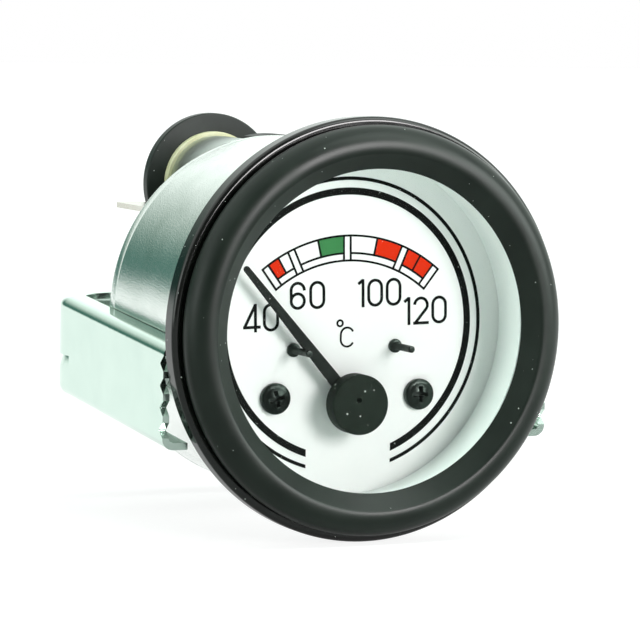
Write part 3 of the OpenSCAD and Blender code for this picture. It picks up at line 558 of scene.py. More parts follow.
class Coat(Enum):
    """The finish of each of the record's material slots."""

    # bright zinc plate on drawn steel: pale, with long draw marks and a crystal sparkle
    CASE_ZINC = Plating("zinc_on_drawn_steel", "#f4f8f5", 0.2, patch="#e2e9e4", streak=(0.2, 1.6), streak_axis=2,
                        spangle=0.8, spangle_size=0.26, relief=0.026, scratch=0.5)
    # stove enamel on steel: black and glossy, with a soft orange peel
    RING_GLOSS_BLACK = Moulding("black_stove_enamel", "#080908", 0.13, 0.7, light="#0d0f0c", grain=1.6, relief=0.006,
                                mottle=3.0, dust=0.1, dust_pitch=1.1)
    # moulded ABS: deep grey-black and satin, with settled dust
    BEZEL_SATIN_BLACK = Moulding("satin_black_abs", "#0f1712", 0.36, 0.35, light="#141d17", grain=0.3, relief=0.005,
                                 mottle=5.0, dust=0.09, dust_pitch=1.15)
    # float glass
    WINDOW_GLASS = Glazing("float_glass", "#cfe0d8", 0.03, veil=0.003)
    # nitrile rubber
    SEAL_RUBBER = Moulding("nitrile_rubber", "#101110", 0.75, 0.3, light="#191a19", grain=0.5, relief=0.02)
    # white polypropylene: a soft gloss that picks up the light
    SPACER_WHITE = Moulding("white_polypropylene", "#f8fefb", 0.4, 0.3, light="#f4fcf8", grain=1.2, relief=0.004)
    # sprayed white paint on aluminium
    DIAL_WHITE = Moulding("white_dial_paint", "#f6faf7", 0.6, 0.2, light="#f3f8f5", grain=0.35, relief=0.002,
                          mottle=6.0)
    # screen-printing ink
    INK_BLACK = Moulding("black_screen_ink", "#080b09", 0.6, 0.05, light="#0c100e", grain=0.2, relief=0.003,
                         mottle=1.2, dust=0.1, dust_pitch=0.8)
    INK_RED = Moulding("red_screen_ink", "#da2a04", 0.6, 0.05, light="#d52e0a", grain=0.2, relief=0.003, mottle=1.2,
                       dust=0.1, dust_pitch=0.8)
    INK_GREEN = Moulding("green_screen_ink", "#3a814a", 0.6, 0.05, light="#3e804c", grain=0.2, relief=0.003,
                         mottle=1.2, dust=0.1, dust_pitch=0.8)
    # blackened steel
    SCREW_BLACK = Plating("black_oxide_steel", "#39403c", 0.3, patch="#2a302d", streak=(0.3, 0.4))
    # nylon 6, unfilled
    NYLON_CREAM = Moulding("cream_nylon", "#e0dac6", 0.45, light="#d8d1ba", grain=0.4, relief=0.008)
    # enamelled copper wire
    WINDING_COPPER = Winding("copper_wire", "#c47a3f", 0.3)
    # turned brass
    BEARING_BRASS = Plating("turned_brass", "#d8b866", 0.25, patch="#c8a552", streak=(3.0, 0.1))
    # soft magnetic steel
    SHIELD_STEEL = Plating("drawn_soft_steel", "#b4b9ba", 0.35, patch="#9aa1a3", streak=(0.2, 6.0))
    # phenolic paper laminate
    BOARD_BROWN = Moulding("phenolic_board", "#9a7038", 0.4, light="#8a6230", grain=0.3, relief=0.006)
    RESISTOR_BODY = Moulding("resistor_lacquer", "#84a79c", 0.3, light="#7a9d92", grain=0.3, relief=0.004)
    # glass-filled nylon: black, matt, faintly fibrous
    TERMINAL_BLACK = Moulding("black_filled_nylon", "#1b1e1d", 0.5, 0.35, light="#262a28", grain=0.22, relief=0.012,
                              mottle=3.0, dust=0.08, dust_pitch=0.9)
    # tinned brass strip
    BLADE_TIN = Plating("tinned_brass", "#e2e0d8", 0.28, patch="#cfccc0", streak=(0.1, 5.0))
    RIVET_STEEL = Plating("nickelled_rivet", "#c9c8c0", 0.3, patch="#b5b4aa", streak=(0.4, 0.4))
    STUD_ZINC = Plating("zinc_on_rolled_thread", "#cfd4d1", 0.3, patch="#b3bab6", streak=(0.3, 0.3))
    NUT_ZINC = Plating("zinc_on_pressed_steel", "#dcdfda", 0.24, patch="#c3c8c2", streak=(0.35, 1.5))
    # injection-moulded pointer parts: matt black, dusty
    POINTER_BLACK = Moulding("matt_black_pointer_paint", "#0e1511", 0.5, 0.12, light="#131b16", grain=0.2,
                             relief=0.006, mottle=1.5, dust=0.3, dust_pitch=0.6, dust_share=0.4)
    HUB_BLACK = Moulding("matt_black_moulding", "#161f18", 0.6, 0.08, light="#1c261f", grain=0.22, relief=0.01,
                         mottle=2.0, dust=0.3, dust_pitch=0.66, dust_share=0.38)
    SPINDLE_STEEL = Plating("ground_steel", "#d0d3d4", 0.15, patch="#c2c6c8", streak=(2.0, 0.1))
    ROTOR_FERRITE = Moulding("sintered_ferrite", "#3a3d40", 0.6, light="#45484b", grain=0.15, relief=0.02)
    # bright zinc on pressed sheet: nearly a mirror, with a fine sparkle on the bends
    BRACKET_ZINC = Plating("zinc_on_pressed_sheet", "#d6e9df", 0.16, patch="#d0e4da", streak=(0.5, 0.5), spangle=1.0,
                           spangle_size=0.4, relief=0.008, scratch=0.1)
    WASHER_STEEL = Plating("zinc_on_spring_steel", "#bcc2c3", 0.3, patch="#a8afb0", streak=(0.3, 0.5))
    # cast zinc alloy, dull
    SLEEVE_GREY = Plating("dull_cast_zinc", "#cdd5d0", 0.34, patch="#bac2bd", streak=(0.5, 0.8))
    COLLAR_CREAM = Moulding("cream_fibre_washer", "#d6d4b4", 0.5, light="#c9c69c", grain=0.4, relief=0.01)
    CAP_BLACK = Moulding("black_bakelite", "#1f2421", 0.38, 0.24, light="#262c29", grain=0.4, relief=0.006, mottle=4.0,
                         dust=0.08, dust_pitch=1.0)
    BULB_METAL = Plating("tinned_bulb_base", "#cfc3a0", 0.3, patch="#bdb08a", streak=(0.3, 0.3))
    BULB_CLEAR = Glazing("bulb_glass", "#f6f4ea", 0.04, veil=0.25)


class Wardrobe:
    """Makes each slot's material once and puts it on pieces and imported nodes."""

    def __init__(self) -> None:
        """Starts with no material made."""
        self.made: dict[str, bpy.types.Material] = {}

    def material(self, slot: str) -> bpy.types.Material:
        """Gives the material of one of the record's slots."""
        if slot not in self.made:
            self.made[slot] = Coat[slot.upper()].value.make()
        return self.made[slot]

    def dress(self, piece: bpy.types.Object, slot: str) -> bpy.types.Object:
        """Gives a piece the one material of a slot."""
        piece.data.materials.clear()
        piece.data.materials.append(self.material(slot))
        return piece

    def dress_frame(self, record: dict[str, Any], nodes: dict[str, bpy.types.Object]) -> None:
        """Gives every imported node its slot's material.

        Args:
            record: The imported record.
            nodes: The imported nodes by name.
        """
        for part in record["subparts"]:
            node = nodes[part["node"]]
            for index in range(max(1, len(node.material_slots))):
                if not node.material_slots:
                    node.data.materials.append(None)
                node.material_slots[index].material = self.material(part["material_slot"])
            log.info("packed node %s wears %s", part["node"], part["material_slot"])


WARDROBE = Wardrobe()


def fit(piece: bpy.types.Object, body: str, slot: str, *nodes: str) -> bpy.types.Object:
    """Puts a finished piece on its body.

    Args:
        piece: The piece, in place.
        body: The body that it rides on.
        slot: The record's material slot.
        *nodes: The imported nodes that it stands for.

    Returns:
        The same piece.
    """
    WARDROBE.dress(piece, slot)
    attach(piece, body)
    if nodes:
        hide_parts(*nodes)
    log.info("%s on %s, %d faces", piece.name, body, len(piece.data.polygons))
    return piece


# Geometry node trees


class Tree:
    """A geometry node tree with named inputs, run once on an empty mesh."""

    def __init__(self, name: str) -> None:
        """Starts a tree that outputs geometry."""
        self.name = name
        self.tree = bpy.data.node_groups.new(name, "GeometryNodeTree")
        self.tree.interface.new_socket(name="Geometry", in_out="OUTPUT", socket_type="NodeSocketGeometry")
        self.given = self.tree.nodes.new("NodeGroupInput")
        self.identifiers: dict[str, str] = {}

    def size(self, name: str, kind: str = "NodeSocketFloat") -> bpy.types.NodeSocket:
        """Adds a named input and gives its socket."""
        item = self.tree.interface.new_socket(name=name, in_out="INPUT", socket_type=kind)
        self.identifiers[name] = item.identifier
        return self.given.outputs[name]

    def add(self, kind: str, values: dict[Any, Any] | None = None,
            links: dict[Any, bpy.types.NodeSocket] | None = None, **settings: Any) -> bpy.types.Node:
        """Adds a node, as the function of the same name does."""
        return add(self.tree, kind, values, links, **settings)

    def run(self, piece_name: str, result: bpy.types.NodeSocket, slot: str,
            sizes: dict[str, Any]) -> bpy.types.Object:
        """Ends the tree, sets its inputs and turns the result into a plain piece.

        Args:
            piece_name: The new piece's name.
            result: The geometry that the tree has made.
            slot: The material slot of the result.
            sizes: Each named input's value.

        Returns:
            The piece as a plain mesh.
        """
        real = self.add("GeometryNodeRealizeInstances", links={"Geometry": result})
        coat = self.add("GeometryNodeSetMaterial", {"Material": WARDROBE.material(slot)},
                        {"Geometry": real.outputs["Geometry"]})
        self.add("NodeGroupOutput", links={"Geometry": coat.outputs["Geometry"]})
        piece = make_object(piece_name, bpy.data.meshes.new(piece_name))
        modifier = piece.modifiers.new(self.name, "NODES")
        modifier.node_group = self.tree
        for name, value in sizes.items():
            modifier[self.identifiers[name]] = value
        settle(piece)
        smooth(piece.data)
        return piece


def pair_of(template: bpy.types.Object, piece_name: str, slot: str, left: Vector, right: Vector,
            turn: float = 0.0) -> bpy.types.Object:
    """Repeats a template at a left and a right place.

    Args:
        template: The piece to repeat, modelled about its own origin. It is removed.
        piece_name: The new piece's name.
        slot: Its material slot.
        left: The first place in millimetres.
        right: The second place.
        turn: How far the second is turned about the Y axis, in degrees.

    Returns:
        Both copies as one piece.
    """
    rule = Tree("pair_along_a_line")
    source = rule.size("Template", "NodeSocketObject")
    start = rule.size("First place", "NodeSocketVector")
    step = rule.size("Step to the second", "NodeSocketVector")
    angle = rule.size("Turn of the second")
    line = rule.add("GeometryNodeMeshLine", {"Count": 2}, {"Start Location": start, "Offset": step})
    shape = rule.add("GeometryNodeObjectInfo", {"As Instance": False}, {"Object": source})
    index = rule.add("GeometryNodeInputIndex")
    share = rule.add("ShaderNodeMath", links={0: index.outputs["Index"], 1: angle}, operation="MULTIPLY")
    about = rule.add("ShaderNodeCombineXYZ", links={"Y": share.outputs["Value"]})
    copies = rule.add("GeometryNodeInstanceOnPoints", links={"Points": line.outputs["Mesh"],
                                                             "Instance": shape.outputs["Geometry"],
                                                             "Rotation": about.outputs["Vector"]})
    piece = rule.run(piece_name, copies.outputs["Instances"], slot,
                     {"Template": template, "First place": left * MM, "Step to the second": (right - left) * MM,
                      "Turn of the second": math.radians(turn)})
    bpy.data.objects.remove(template)
    return piece


# The gauge's own parts


@dataclass
class CaseAndBezel:
    """The drawn barrel, the ring that bears on the panel, the bezel, the glass and the white wall."""

    barrel_radius: float = 25.9
    sheet: float = 0.6
    floor_corner: float = 1.2
    seam_from_floor: float = 2.6
    seam_depth: float = 0.2
    seam_width: float = 0.35
    opening_radius: float = 22.75
    opening_front: float = -5.0
    lip_undercut: float = 0.45
    crest_radius: float = 25.85
    shoulder: float = 3.05
    groove_floor: float = 28.15
    lamp_hole: float = 4.56

    def build(self) -> None:
        """Makes the pieces in order from the panel outwards."""
        self.barrel()
        self.panel_ring()
        self.bezel()
        self.window()
        self.white_wall()

    def barrel(self) -> None:
        """The barrel in one sheet, with its front lip, its seam near the floor and the lamp's hole."""
        box = extent("case_can")
        lip = box.high.x
        front, back = box.low.y, box.high.y
        out, inn, t = self.barrel_radius, self.barrel_radius - self.sheet, self.sheet
        seam = back - self.seam_from_floor
        outline = rounded([
            (lip, front, 0.1), (lip, front + t, 0.1), (out, front + t, 0.12),
            (out, seam - self.seam_width, 0), (out - self.seam_depth, seam, 0.05),
            (out, seam + self.seam_width, 0),
            (out, back, self.floor_corner), (0, back, 0), (0, back - t, 0),
            (inn, back - t, self.floor_corner - t), (inn, front, 0.1)])
        piece = turned("barrel", outline, around=256)
        lamp = extent("lamp_sleeve")
        hole = turned("hole", [(0, back - 3), (self.lamp_hole, back - 3), (self.lamp_hole, back + 3),
                               (0, back + 3)], (lamp.centre.x, lamp.centre.z), 96)
        carve(piece, [hole])
        fit(even_shading(piece), "case", "case_zinc", "case_can")

    def panel_ring(self) -> None:
        """The glossy ring that bears on the panel, with a step inside for the bezel's skirt."""
        box = extent("clamp_ring")
        radius, front, back = box.high.x, box.low.y, box.high.y
        bore = self.groove_floor + 0.05
        inner = self.barrel_radius + 0.1
        outline = rounded([
            (bore, front, 0.12), (radius, front, 0.7), (radius, back, 0.3), (inner, back, 0.12),
            (inner, back - 1.0, 0.1), (bore, back - 1.0, 0)], 8)
        fit(even_shading(turned("panel_ring", outline, around=256)), "case", "ring_gloss_black", "clamp_ring")

    def bezel(self) -> None:
        """The satin front ring: a cone inside, a rounded crest and shoulder, and a skirt behind."""
        box = extent("bezel")
        front, back, rim = box.low.y, box.high.y, box.high.x
        ring_front = extent("clamp_ring").low.y
        rim_back = ring_front - 0.7
        skirt_in = extent("case_can").high.x + 0.05
        pocket = extent("glass_seal").low.y
        centre = (self.crest_radius, front + self.shoulder)
        crest = arc(centre, self.shoulder, -90 - 14, -90 - 14, 1)[0]
        shoulder = [(*crest, 0.9)] + [(x, y, 0.0) for x, y in arc(centre, self.shoulder, -90 - 6, 0, 24)]
        outline = rounded([(self.opening_radius, self.opening_front, 0.1)] + shoulder + [
            (rim, rim_back, 0.2), (self.groove_floor, rim_back, 0), (self.groove_floor, back, 0),
            (skirt_in, back, 0), (skirt_in, pocket, 0), (self.opening_radius + self.lip_undercut, pocket, 0)], 5)
        fit(even_shading(turned("bezel_ring", outline, around=288)), "case", "bezel_satin_black", "bezel")

    def window(self) -> None:
        """The flat glass with its ground edge."""
        box = extent("glass")
        radius, front, back = box.high.x, box.low.y, box.high.y
        edge = 0.25
        outline = [(0, front), (radius - edge, front), (radius, front + edge), (radius, back - edge),
                   (radius - edge, back), (0, back)]
        fit(turned("window", outline, around=192, smooth_angle=25), "case", "window_glass", "glass")

    def white_wall(self) -> None:
        """The white wall between the glass and the dial, with a rounded foot on the dial."""
        box = extent("spacer_ring")
        out, inn = box.high.x, box.high.x - 1.0
        outline = rounded([(inn, box.low.y, 0.15), (out, box.low.y, 0.1), (out, box.high.y, 0.1),
                           (inn, box.high.y, 0.3)])
        fit(even_shading(turned("white_wall", outline, around=256)), "case", "spacer_white", "spacer_ring")


@dataclass
class DialAndPointer:
    """What stands on the dial, and what turns in front of it."""

    screw_head: float = 2.25
    screw_rise: float = 1.3
    screw_thread: float = 1.1
    screw_turn: float = 14.0
    recess_length: float = 2.3
    recess_width: float = 0.64
    recess_depth: float = 1.6
    pin_radius: float = 0.5
    pin_collar: float = 1.0
    pin_collar_rise: float = 0.6
    hub_edge: float = 0.22
    hub_mark: float = 0.4
    hub_mark_place: Point = (-0.29, 0.67)
    hub_mark_depth: float = 1.2
    needle_root: float = 2.0
    needle_tip: float = 0.9
    needle_length: float = 26.0
    rest_angle: float = 41.0

    def build(self) -> None:
        """Makes the screws, the stop pins, the needle and its hub."""
        self.screws()
        self.stop_pins()
        self.needle()
        self.hub()

    def screws(self) -> None:
        """Two pan-head screws with cross recesses."""
        box = extent("dial_screws")
        dial = extent("dial_plate").low.y
        side = box.size.x / 2 - self.screw_head
        head = self.screw_head
        top = dial - self.screw_rise
        crown = arc((0, top + 3.2), 3.2, -90, -90 + 33, 8)
        outline = crown + arc((head - 0.45, dial - 0.5), 0.45, -35, 20, 5)
        outline += [(head - 0.02, dial), (self.screw_thread, dial), (self.screw_thread, box.high.y), (0, box.high.y)]
        template = turned("screw", outline, around=96)
        tools = [self.recess_arm(turn, top) for turn in (0, 90)]
        carve(template, tools)
        even_shading(template)
        x, z = box.centre.x, box.centre.z
        piece = pair_of(template, "dial_screw_pair", "screw_black", Vector((x - side, 0, z)),
                        Vector((x + side, 0, z)), self.screw_turn)
        fit(piece, "case", "screw_black", "dial_screws")

    def recess_arm(self, turn: float, top: float) -> bpy.types.Object:
        """One tapered arm of the cross recess.

        Args:
            turn: Its angle round the screw in degrees.
            top: The y of the head's crown.

        Returns:
            A closed cutting tool.
        """
        long, wide, deep = self.recess_length / 2, self.recess_width / 2, self.recess_depth
        levels = [(top - 0.5, 1.08), (top + deep, 0.85)]
        corners = [(-1, -1), (1, -1), (1, 1), (-1, 1)]
        points = [(sx * long * k, y, sz * wide * (0.5 + k / 2)) for y, k in levels for sx, sz in corners]
        faces = [[0, 1, 2, 3], [4, 5, 6, 7]] + [[i, (i + 1) % 4, 4 + (i + 1) % 4, 4 + i] for i in range(4)]
        tool = from_faces("recess", points, faces)
        tool.data.transform(Matrix.Rotation(math.radians(turn - self.screw_turn), 4, "Y"))
        return tool

    def stop_pins(self) -> None:
        """Two pins that stop the needle at the ends of its travel."""
        box = extent("stop_pins")
        dial = extent("dial_plate").low.y
        side, lift = box.size.x / 2 - self.pin_collar, box.size.z / 2 - self.pin_collar
        tip, r, collar = box.low.y, self.pin_radius, self.pin_collar
        outline = [(0, tip)] + arc((r - 0.18, tip + 0.18), 0.18, -90, 0, 5)
        outline += [(r, dial - self.pin_collar_rise - 0.12)]
        outline += arc((collar - 0.3, dial - self.pin_collar_rise + 0.3), 0.3, -90, 0, 5)
        outline += [(collar, dial), (r, dial), (r, box.high.y), (0, box.high.y)]
        template = turned("pin", outline, around=64)
        even_shading(template)
        x, z = box.centre.x, box.centre.z
        piece = pair_of(template, "stop_pin_pair", "screw_black", Vector((x - side, 0, z - lift)),
                        Vector((x + side, 0, z + lift)))
        fit(piece, "case", "screw_black", "stop_pins")

    def needle(self) -> None:
        """The flat tapered needle, with its edges broken."""
        box = extent("pointer_needle")
        axis_z = extent("pointer_spindle").centre.z
        length = self.needle_length
        root, tip = self.needle_root / 2, self.needle_tip / 2
        outline = [(-root, 1.0), (-tip, length - tip)] + arc((0, length - tip), tip, 180, 0, 8)[1:-1]
        outline += [(tip, length - tip), (root, 1.0)]
        piece = extruded("needle", outline, box.low.y, box.high.y)
        soften(piece, 0.08, 30)
        turn = Matrix.Rotation(math.radians(-self.rest_angle), 4, "Y")
        piece.data.transform(Matrix.Translation((0, 0, axis_z * MM)) @ turn)
        fit(even_shading(piece), "pointer", "pointer_black", "pointer_needle")

    def hub(self) -> None:
        """The round hub, with the mark where it was moulded and the boss behind the needle."""
        box = extent("pointer_hub")
        needle = extent("pointer_needle")
        r, edge = box.high.x, self.hub_edge
        boss = 1.2
        outline = [(0, box.low.y)] + arc((r - edge, box.low.y + edge), edge, -90, 0, 6)
        outline += arc((r - 0.1, needle.low.y - 0.1), 0.1, 0, 90, 3)
        outline += [(boss, needle.low.y), (boss, box.high.y), (0, box.high.y)]
        centre = (box.centre.x, box.centre.z)
        piece = turned("hub", outline, centre, 160)
        x, z = self.hub_mark_place
        front = box.low.y
        mark = turned("mark", [(0, front - 1), (self.hub_mark, front - 1), (self.hub_mark, front + 0.1),
                               (0.1, front + self.hub_mark_depth), (0, front + self.hub_mark_depth)],
                      (centre[0] + x, centre[1] + z), 32)
        carve(piece, [mark])
        fit(even_shading(piece), "pointer", "hub_black", "pointer_hub")


@dataclass
class ClampBracket:
    """The pressed bracket: a shallow channel bent into a U, with toothed feet and darts in its corners."""

    sheet: float = 1.0
    flange: float = 3.8
    bend: float = 1.6
    corner: float = 10.0
    height: float = 14.65
    drop: float = 3.3
    stud_hole: float = 2.3
    tooth_pitch: float = 3.1
    tooth_depth: float = 1.2
    tooth_half: float = 1.08
    tooth_count: int = 4
    first_tooth: float = 2.6
    dart_top: float = -6.6
    dart_height: float = 2.3
    dart_depth: float = 0.5
    dart_reach: float = 2.0
    edge: float = 0.12

    def build(self) -> None:
        """Makes the bracket."""
        box = extent("u_bracket")
        piece = self.swept("clamp_bracket", self.path(box), self.section())
        carve(piece, self.holes(box.high.y) + self.notches(box) + self.darts(box), smooth_angle=30)
        fit(even_shading(piece), "bracket", "bracket_zinc", "u_bracket")

    @staticmethod
    def swept(name: str, path: Sequence[Station], section: Sequence[Point]) -> bpy.types.Object:
        """Runs a closed section along a path.

        Args:
            name: The piece's name.
            path: The stations.
            section: The section as (inward, up) from a station.

        Returns:
            The closed piece.
        """
        points = [(x + d * ix, y + d * iy, low + h) for (x, y), (ix, iy), low in path for d, h in section]
        n = len(section)
        last = len(path) - 1
        faces = [[row * n + i, row * n + (i + 1) % n, (row + 1) * n + (i + 1) % n, (row + 1) * n + i]
                 for row in range(last) for i in range(n)]
        faces += [list(range(n)), list(range(last * n, (last + 1) * n))]
        return from_faces(name, points, faces, 30)

    def section(self) -> list[Point]:
        """The channel's outline as (inward, up) from its outer lower corner."""
        t, w, h, b, e = self.sheet, self.flange, self.height, self.bend, self.edge
        return rounded([(w, 0, e), (0, 0, b), (0, h, b), (w, h, e), (w, h - t, e), (t, h - t, b - t),
                        (t, t, b - t), (w, t, e)], 8)

    def path(self, box: Extent) -> list[Station]:
        """The stations of the sweep, from the right foot round the back to the left foot.

        Args:
            box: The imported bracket's box.

        Returns:
            For each station the outer face's place, the inward direction and the lower edge's height.
        """
        foot = box.low.y
        low = box.high.z - self.height
        bend_y = box.high.y - self.corner
        legs = [foot + (bend_y - foot) * i / 8 for i in range(8)]
        stations = [((box.high.x, y), (-1.0, 0.0), low - self.drop * (bend_y - y) / (bend_y - foot)) for y in legs]
        stations += self.corner_path(box, low)
        mirrored = [((-x, y), (-ix, iy), z) for (x, y), (ix, iy), z in reversed(stations)]
        return stations + mirrored

    def corner_path(self, box: Extent, height: float) -> list[Station]:
        """The stations round the right rear corner, all at one height."""
        x, y = box.high.x - self.corner, box.high.y - self.corner
        turns = [(math.cos(a), math.sin(a)) for a in (math.radians(90 * i / 16) for i in range(17))]
        return [((x + self.corner * c, y + self.corner * s), (-c, -s), height) for c, s in turns]

    def holes(self, back: float) -> list[bpy.types.Object]:
        """Cutting tools for the stud holes in the bridge, whose rear face is at the given y."""
        studs = extent("bracket_studs")
        x = studs.high.x - 4.0
        outline = [(0, back - 3), (self.stud_hole, back - 3), (self.stud_hole, back + 2), (0, back + 2)]
        return [turned("hole", outline, (side * x, studs.centre.z), 48) for side in (-1, 1)]

    def notches(self, box: Extent) -> list[bpy.types.Object]:
        """Cutting tools for the notches between the teeth of both feet."""
        foot = box.low.y
        top = box.high.z - self.drop
        half = self.tooth_half
        tools = []
        for side in (-1, 1):
            x = side * (box.high.x - self.flange / 2)
            for i in range(self.tooth_count):
                z = top - self.first_tooth - i * self.tooth_pitch
                outline = rounded([(foot - 1, z - half, 0), (foot, z - half, 0), (foot + self.tooth_depth, z, 0.15),
                                   (foot, z + half, 0), (foot - 1, z + half, 0)], 4)
                tools.append(extruded("notch", outline, x - self.flange, x + self.flange, "X"))
        return tools

    def darts(self, box: Extent) -> list[bpy.types.Object]:
        """Cutting tools for the dart pressed into each rear corner, steep above and slack below."""
        section = [(-1.0, 0.0), (self.dart_depth, -self.dart_depth), (0.0, -self.dart_height),
                   (-1.0, -self.dart_height)]
        bend = self.corner_path(box, self.dart_top)
        right = [((box.high.x, box.high.y - self.corner - self.dart_reach), (-1.0, 0.0), self.dart_top)] + bend
        right += [((box.high.x - self.corner - self.dart_reach, box.high.y), (0.0, -1.0), self.dart_top)]
        left = [((-x, y), (-ix, iy), z) for (x, y), (ix, iy), z in right]
        return [self.swept("dart", stations, section) for stations in (right, left)]


@dataclass
class Fasteners:
    """Threaded studs, nuts and spring washers."""

    core: float = 1.66
    pitch: float = 0.7
    ridge: float = 0.36
    head_radius: float = 4.0
    head_height: float = 1.5
    flats: float = 7.0
    bore: float = 2.06
    spring_inner: float = 2.3

    def build(self) -> None:
        """Makes the studs, the nuts on the case, the washers and the two bracket nuts."""
        self.studs()
        self.case_nuts()
        self.washers()
        for side in ("left", "right"):
            self.bracket_nut(side)

    def studs(self) -> None:
        """Two threaded studs: a core with one helical ridge each, and a head inside the case."""
        box = extent("bracket_studs")
        x = box.high.x - self.head_radius
        z = box.centre.z
        start, end = box.low.y, box.high.y
        rule = Tree("threaded_stud")
        core = rule.size("Core radius")
        pitch = rule.size("Pitch")
        length = rule.size("Length")
        ridge = rule.size("Ridge")
        first = rule.size("First place", "NodeSocketVector")
        step = rule.size("Step to the second", "NodeSocketVector")
        turns = rule.add("ShaderNodeMath", links={0: length, 1: pitch}, operation="DIVIDE")
        spiral = rule.add("GeometryNodeCurveSpiral", {"Resolution": 28},
                          {"Rotations": turns.outputs["Value"], "Start Radius": core, "End Radius": core,
                           "Height": length})
        profile = rule.add("GeometryNodeCurvePrimitiveCircle", {"Resolution": 4}, {"Radius": ridge})
        thread = rule.add("GeometryNodeCurveToMesh", {"Fill Caps": True},
                          {"Curve": spiral.outputs["Curve"], "Profile Curve": profile.outputs["Curve"]})
        half = rule.add("ShaderNodeMath", {1: 0.5}, {0: length}, operation="MULTIPLY")
        middle = rule.add("ShaderNodeCombineXYZ", links={"Z": half.outputs["Value"]})
        rod = rule.add("GeometryNodeMeshCylinder", {"Vertices": 48}, {"Radius": core, "Depth": length})
        raised = rule.add("GeometryNodeTransform", links={"Geometry": rod.outputs["Mesh"],
                                                          "Translation": middle.outputs["Vector"]})
        both = rule.add("GeometryNodeJoinGeometry")
        rule.tree.links.new(thread.outputs["Mesh"], both.inputs["Geometry"])
        rule.tree.links.new(raised.outputs["Geometry"], both.inputs["Geometry"])
        laid = rule.add("GeometryNodeTransform", {"Rotation": (-math.pi / 2, 0.0, 0.0)},
                        {"Geometry": both.outputs["Geometry"]})
        line = rule.add("GeometryNodeMeshLine", {"Count": 2}, {"Start Location": first, "Offset": step})
        copies = rule.add("GeometryNodeInstanceOnPoints", links={"Points": line.outputs["Mesh"],
                                                                 "Instance": laid.outputs["Geometry"]})
        rod_start = start + self.head_height
        piece = rule.run("stud_threads", copies.outputs["Instances"], "stud_zinc",
                         {"Core radius": self.core * MM, "Pitch": self.pitch * MM,
                          "Length": (end - rod_start - 0.4) * MM, "Ridge": self.ridge * MM,
                          "First place": Vector((-x, rod_start, z)) * MM,
                          "Step to the second": Vector((2 * x, 0, 0)) * MM})
        fit(piece, "case", "stud_zinc", "bracket_studs")
        head = turned("head", rounded([(0, start, 0), (self.head_radius, start, 0.3),
                                       (self.head_radius, start + self.head_height, 0.1),
                                       (0, start + self.head_height, 0)]), around=64)
        heads = pair_of(head, "stud_heads", "stud_zinc", Vector((-x, 0, z)), Vector((x, 0, z)))
        fit(heads, "case", "stud_zinc")

    def nut(self, name: str, low: float, high: float) -> bpy.types.Object:
        """A hexagonal nut about the Y axis, chamfered on both faces.

        Args:
            name: The piece's name.
            low: Its front face's y.
            high: Its rear face's y.

        Returns:
            The nut, with a corner towards +X.
        """
        around = 96
        flat = self.flats / 2
        wash, lead = flat * 0.96, 0.3
        points: list[tuple[float, float, float]] = []
        for k in range(around):
            a = 2 * math.pi * k / around
            hexagon = flat / math.cos((a % (math.pi / 3)) - math.pi / 6)
            fall = max(0.0, hexagon - wash) * math.tan(math.radians(30))
            ring = [(self.bore, low + lead), (self.bore + lead, low), (wash, low), (hexagon, low + fall),
                    (hexagon, high - fall), (wash, high), (self.bore + lead, high), (self.bore, high - lead)]
            points += [(r * math.cos(a), y, r * math.sin(a)) for r, y in ring]
        n = 8
        faces = [[k * n + i, k * n + (i + 1) % n, (k + 1) % around * n + (i + 1) % n, (k + 1) % around * n + i]
                 for k in range(around) for i in range(n)]
        return from_faces(name, points, faces, 24)

    def case_nuts(self) -> None:
        """The thin nuts that hold the studs in the case's floor."""
        box = extent("case_nuts")
        x = box.high.x - self.flats / 2 / math.cos(math.radians(30))
        template = self.nut("thin_nut", box.low.y, box.high.y)
        z = box.centre.z
        fit(pair_of(template, "case_nut_pair", "nut_zinc", Vector((-x, 0, z)), Vector((x, 0, z))),
            "case", "nut_zinc", "case_nuts")

    def bracket_nut(self, side: str) -> None:
        """The nut that pulls one side of the bracket home."""
        box = extent(f"nut_{side}")
        piece = self.nut(f"bracket_nut_{side}", box.low.y, box.high.y)
        piece.data.transform(Matrix.Translation(Vector((box.centre.x, 0, box.centre.z)) * MM))
        fit(piece, f"nut_{side}", "nut_zinc", f"nut_{side}")

    def washers(self) -> None:
        """Two split spring washers, each nearly one turn of square wire."""
        box = extent("bracket_washers")
        outer = box.size.z / 2
        x = box.high.x - outer
        thick = box.size.y
        inner = self.spring_inner
        wire = 0.82 * thick
        rise = thick - wire
        points: list[tuple[float, float, float]] = []
        steps = 72
        for k in range(steps + 1):
            a = math.radians(20 + 346 * k / steps)
            y = box.low.y + rise * k / steps
            ring = rounded([(inner, y, 0.08), (outer, y, 0.12), (outer, y + wire, 0.12), (inner, y + wire, 0.08)], 3)
            points += [(r * math.cos(a), h, r * math.sin(a)) for r, h in ring]
            n = len(ring)
        faces = [[k * n + i, k * n + (i + 1) % n, (k + 1) * n + (i + 1) % n, (k + 1) * n + i]
                 for k in range(steps) for i in range(n)]
        faces += [list(range(n)), list(range(steps * n, (steps + 1) * n))]
        template = from_faces("spring", points, faces, 40)
        z = box.centre.z
        fit(pair_of(template, "spring_washers", "washer_steel", Vector((-x, 0, z)), Vector((x, 0, z))),
            "bracket", "washer_steel", "bracket_washers")


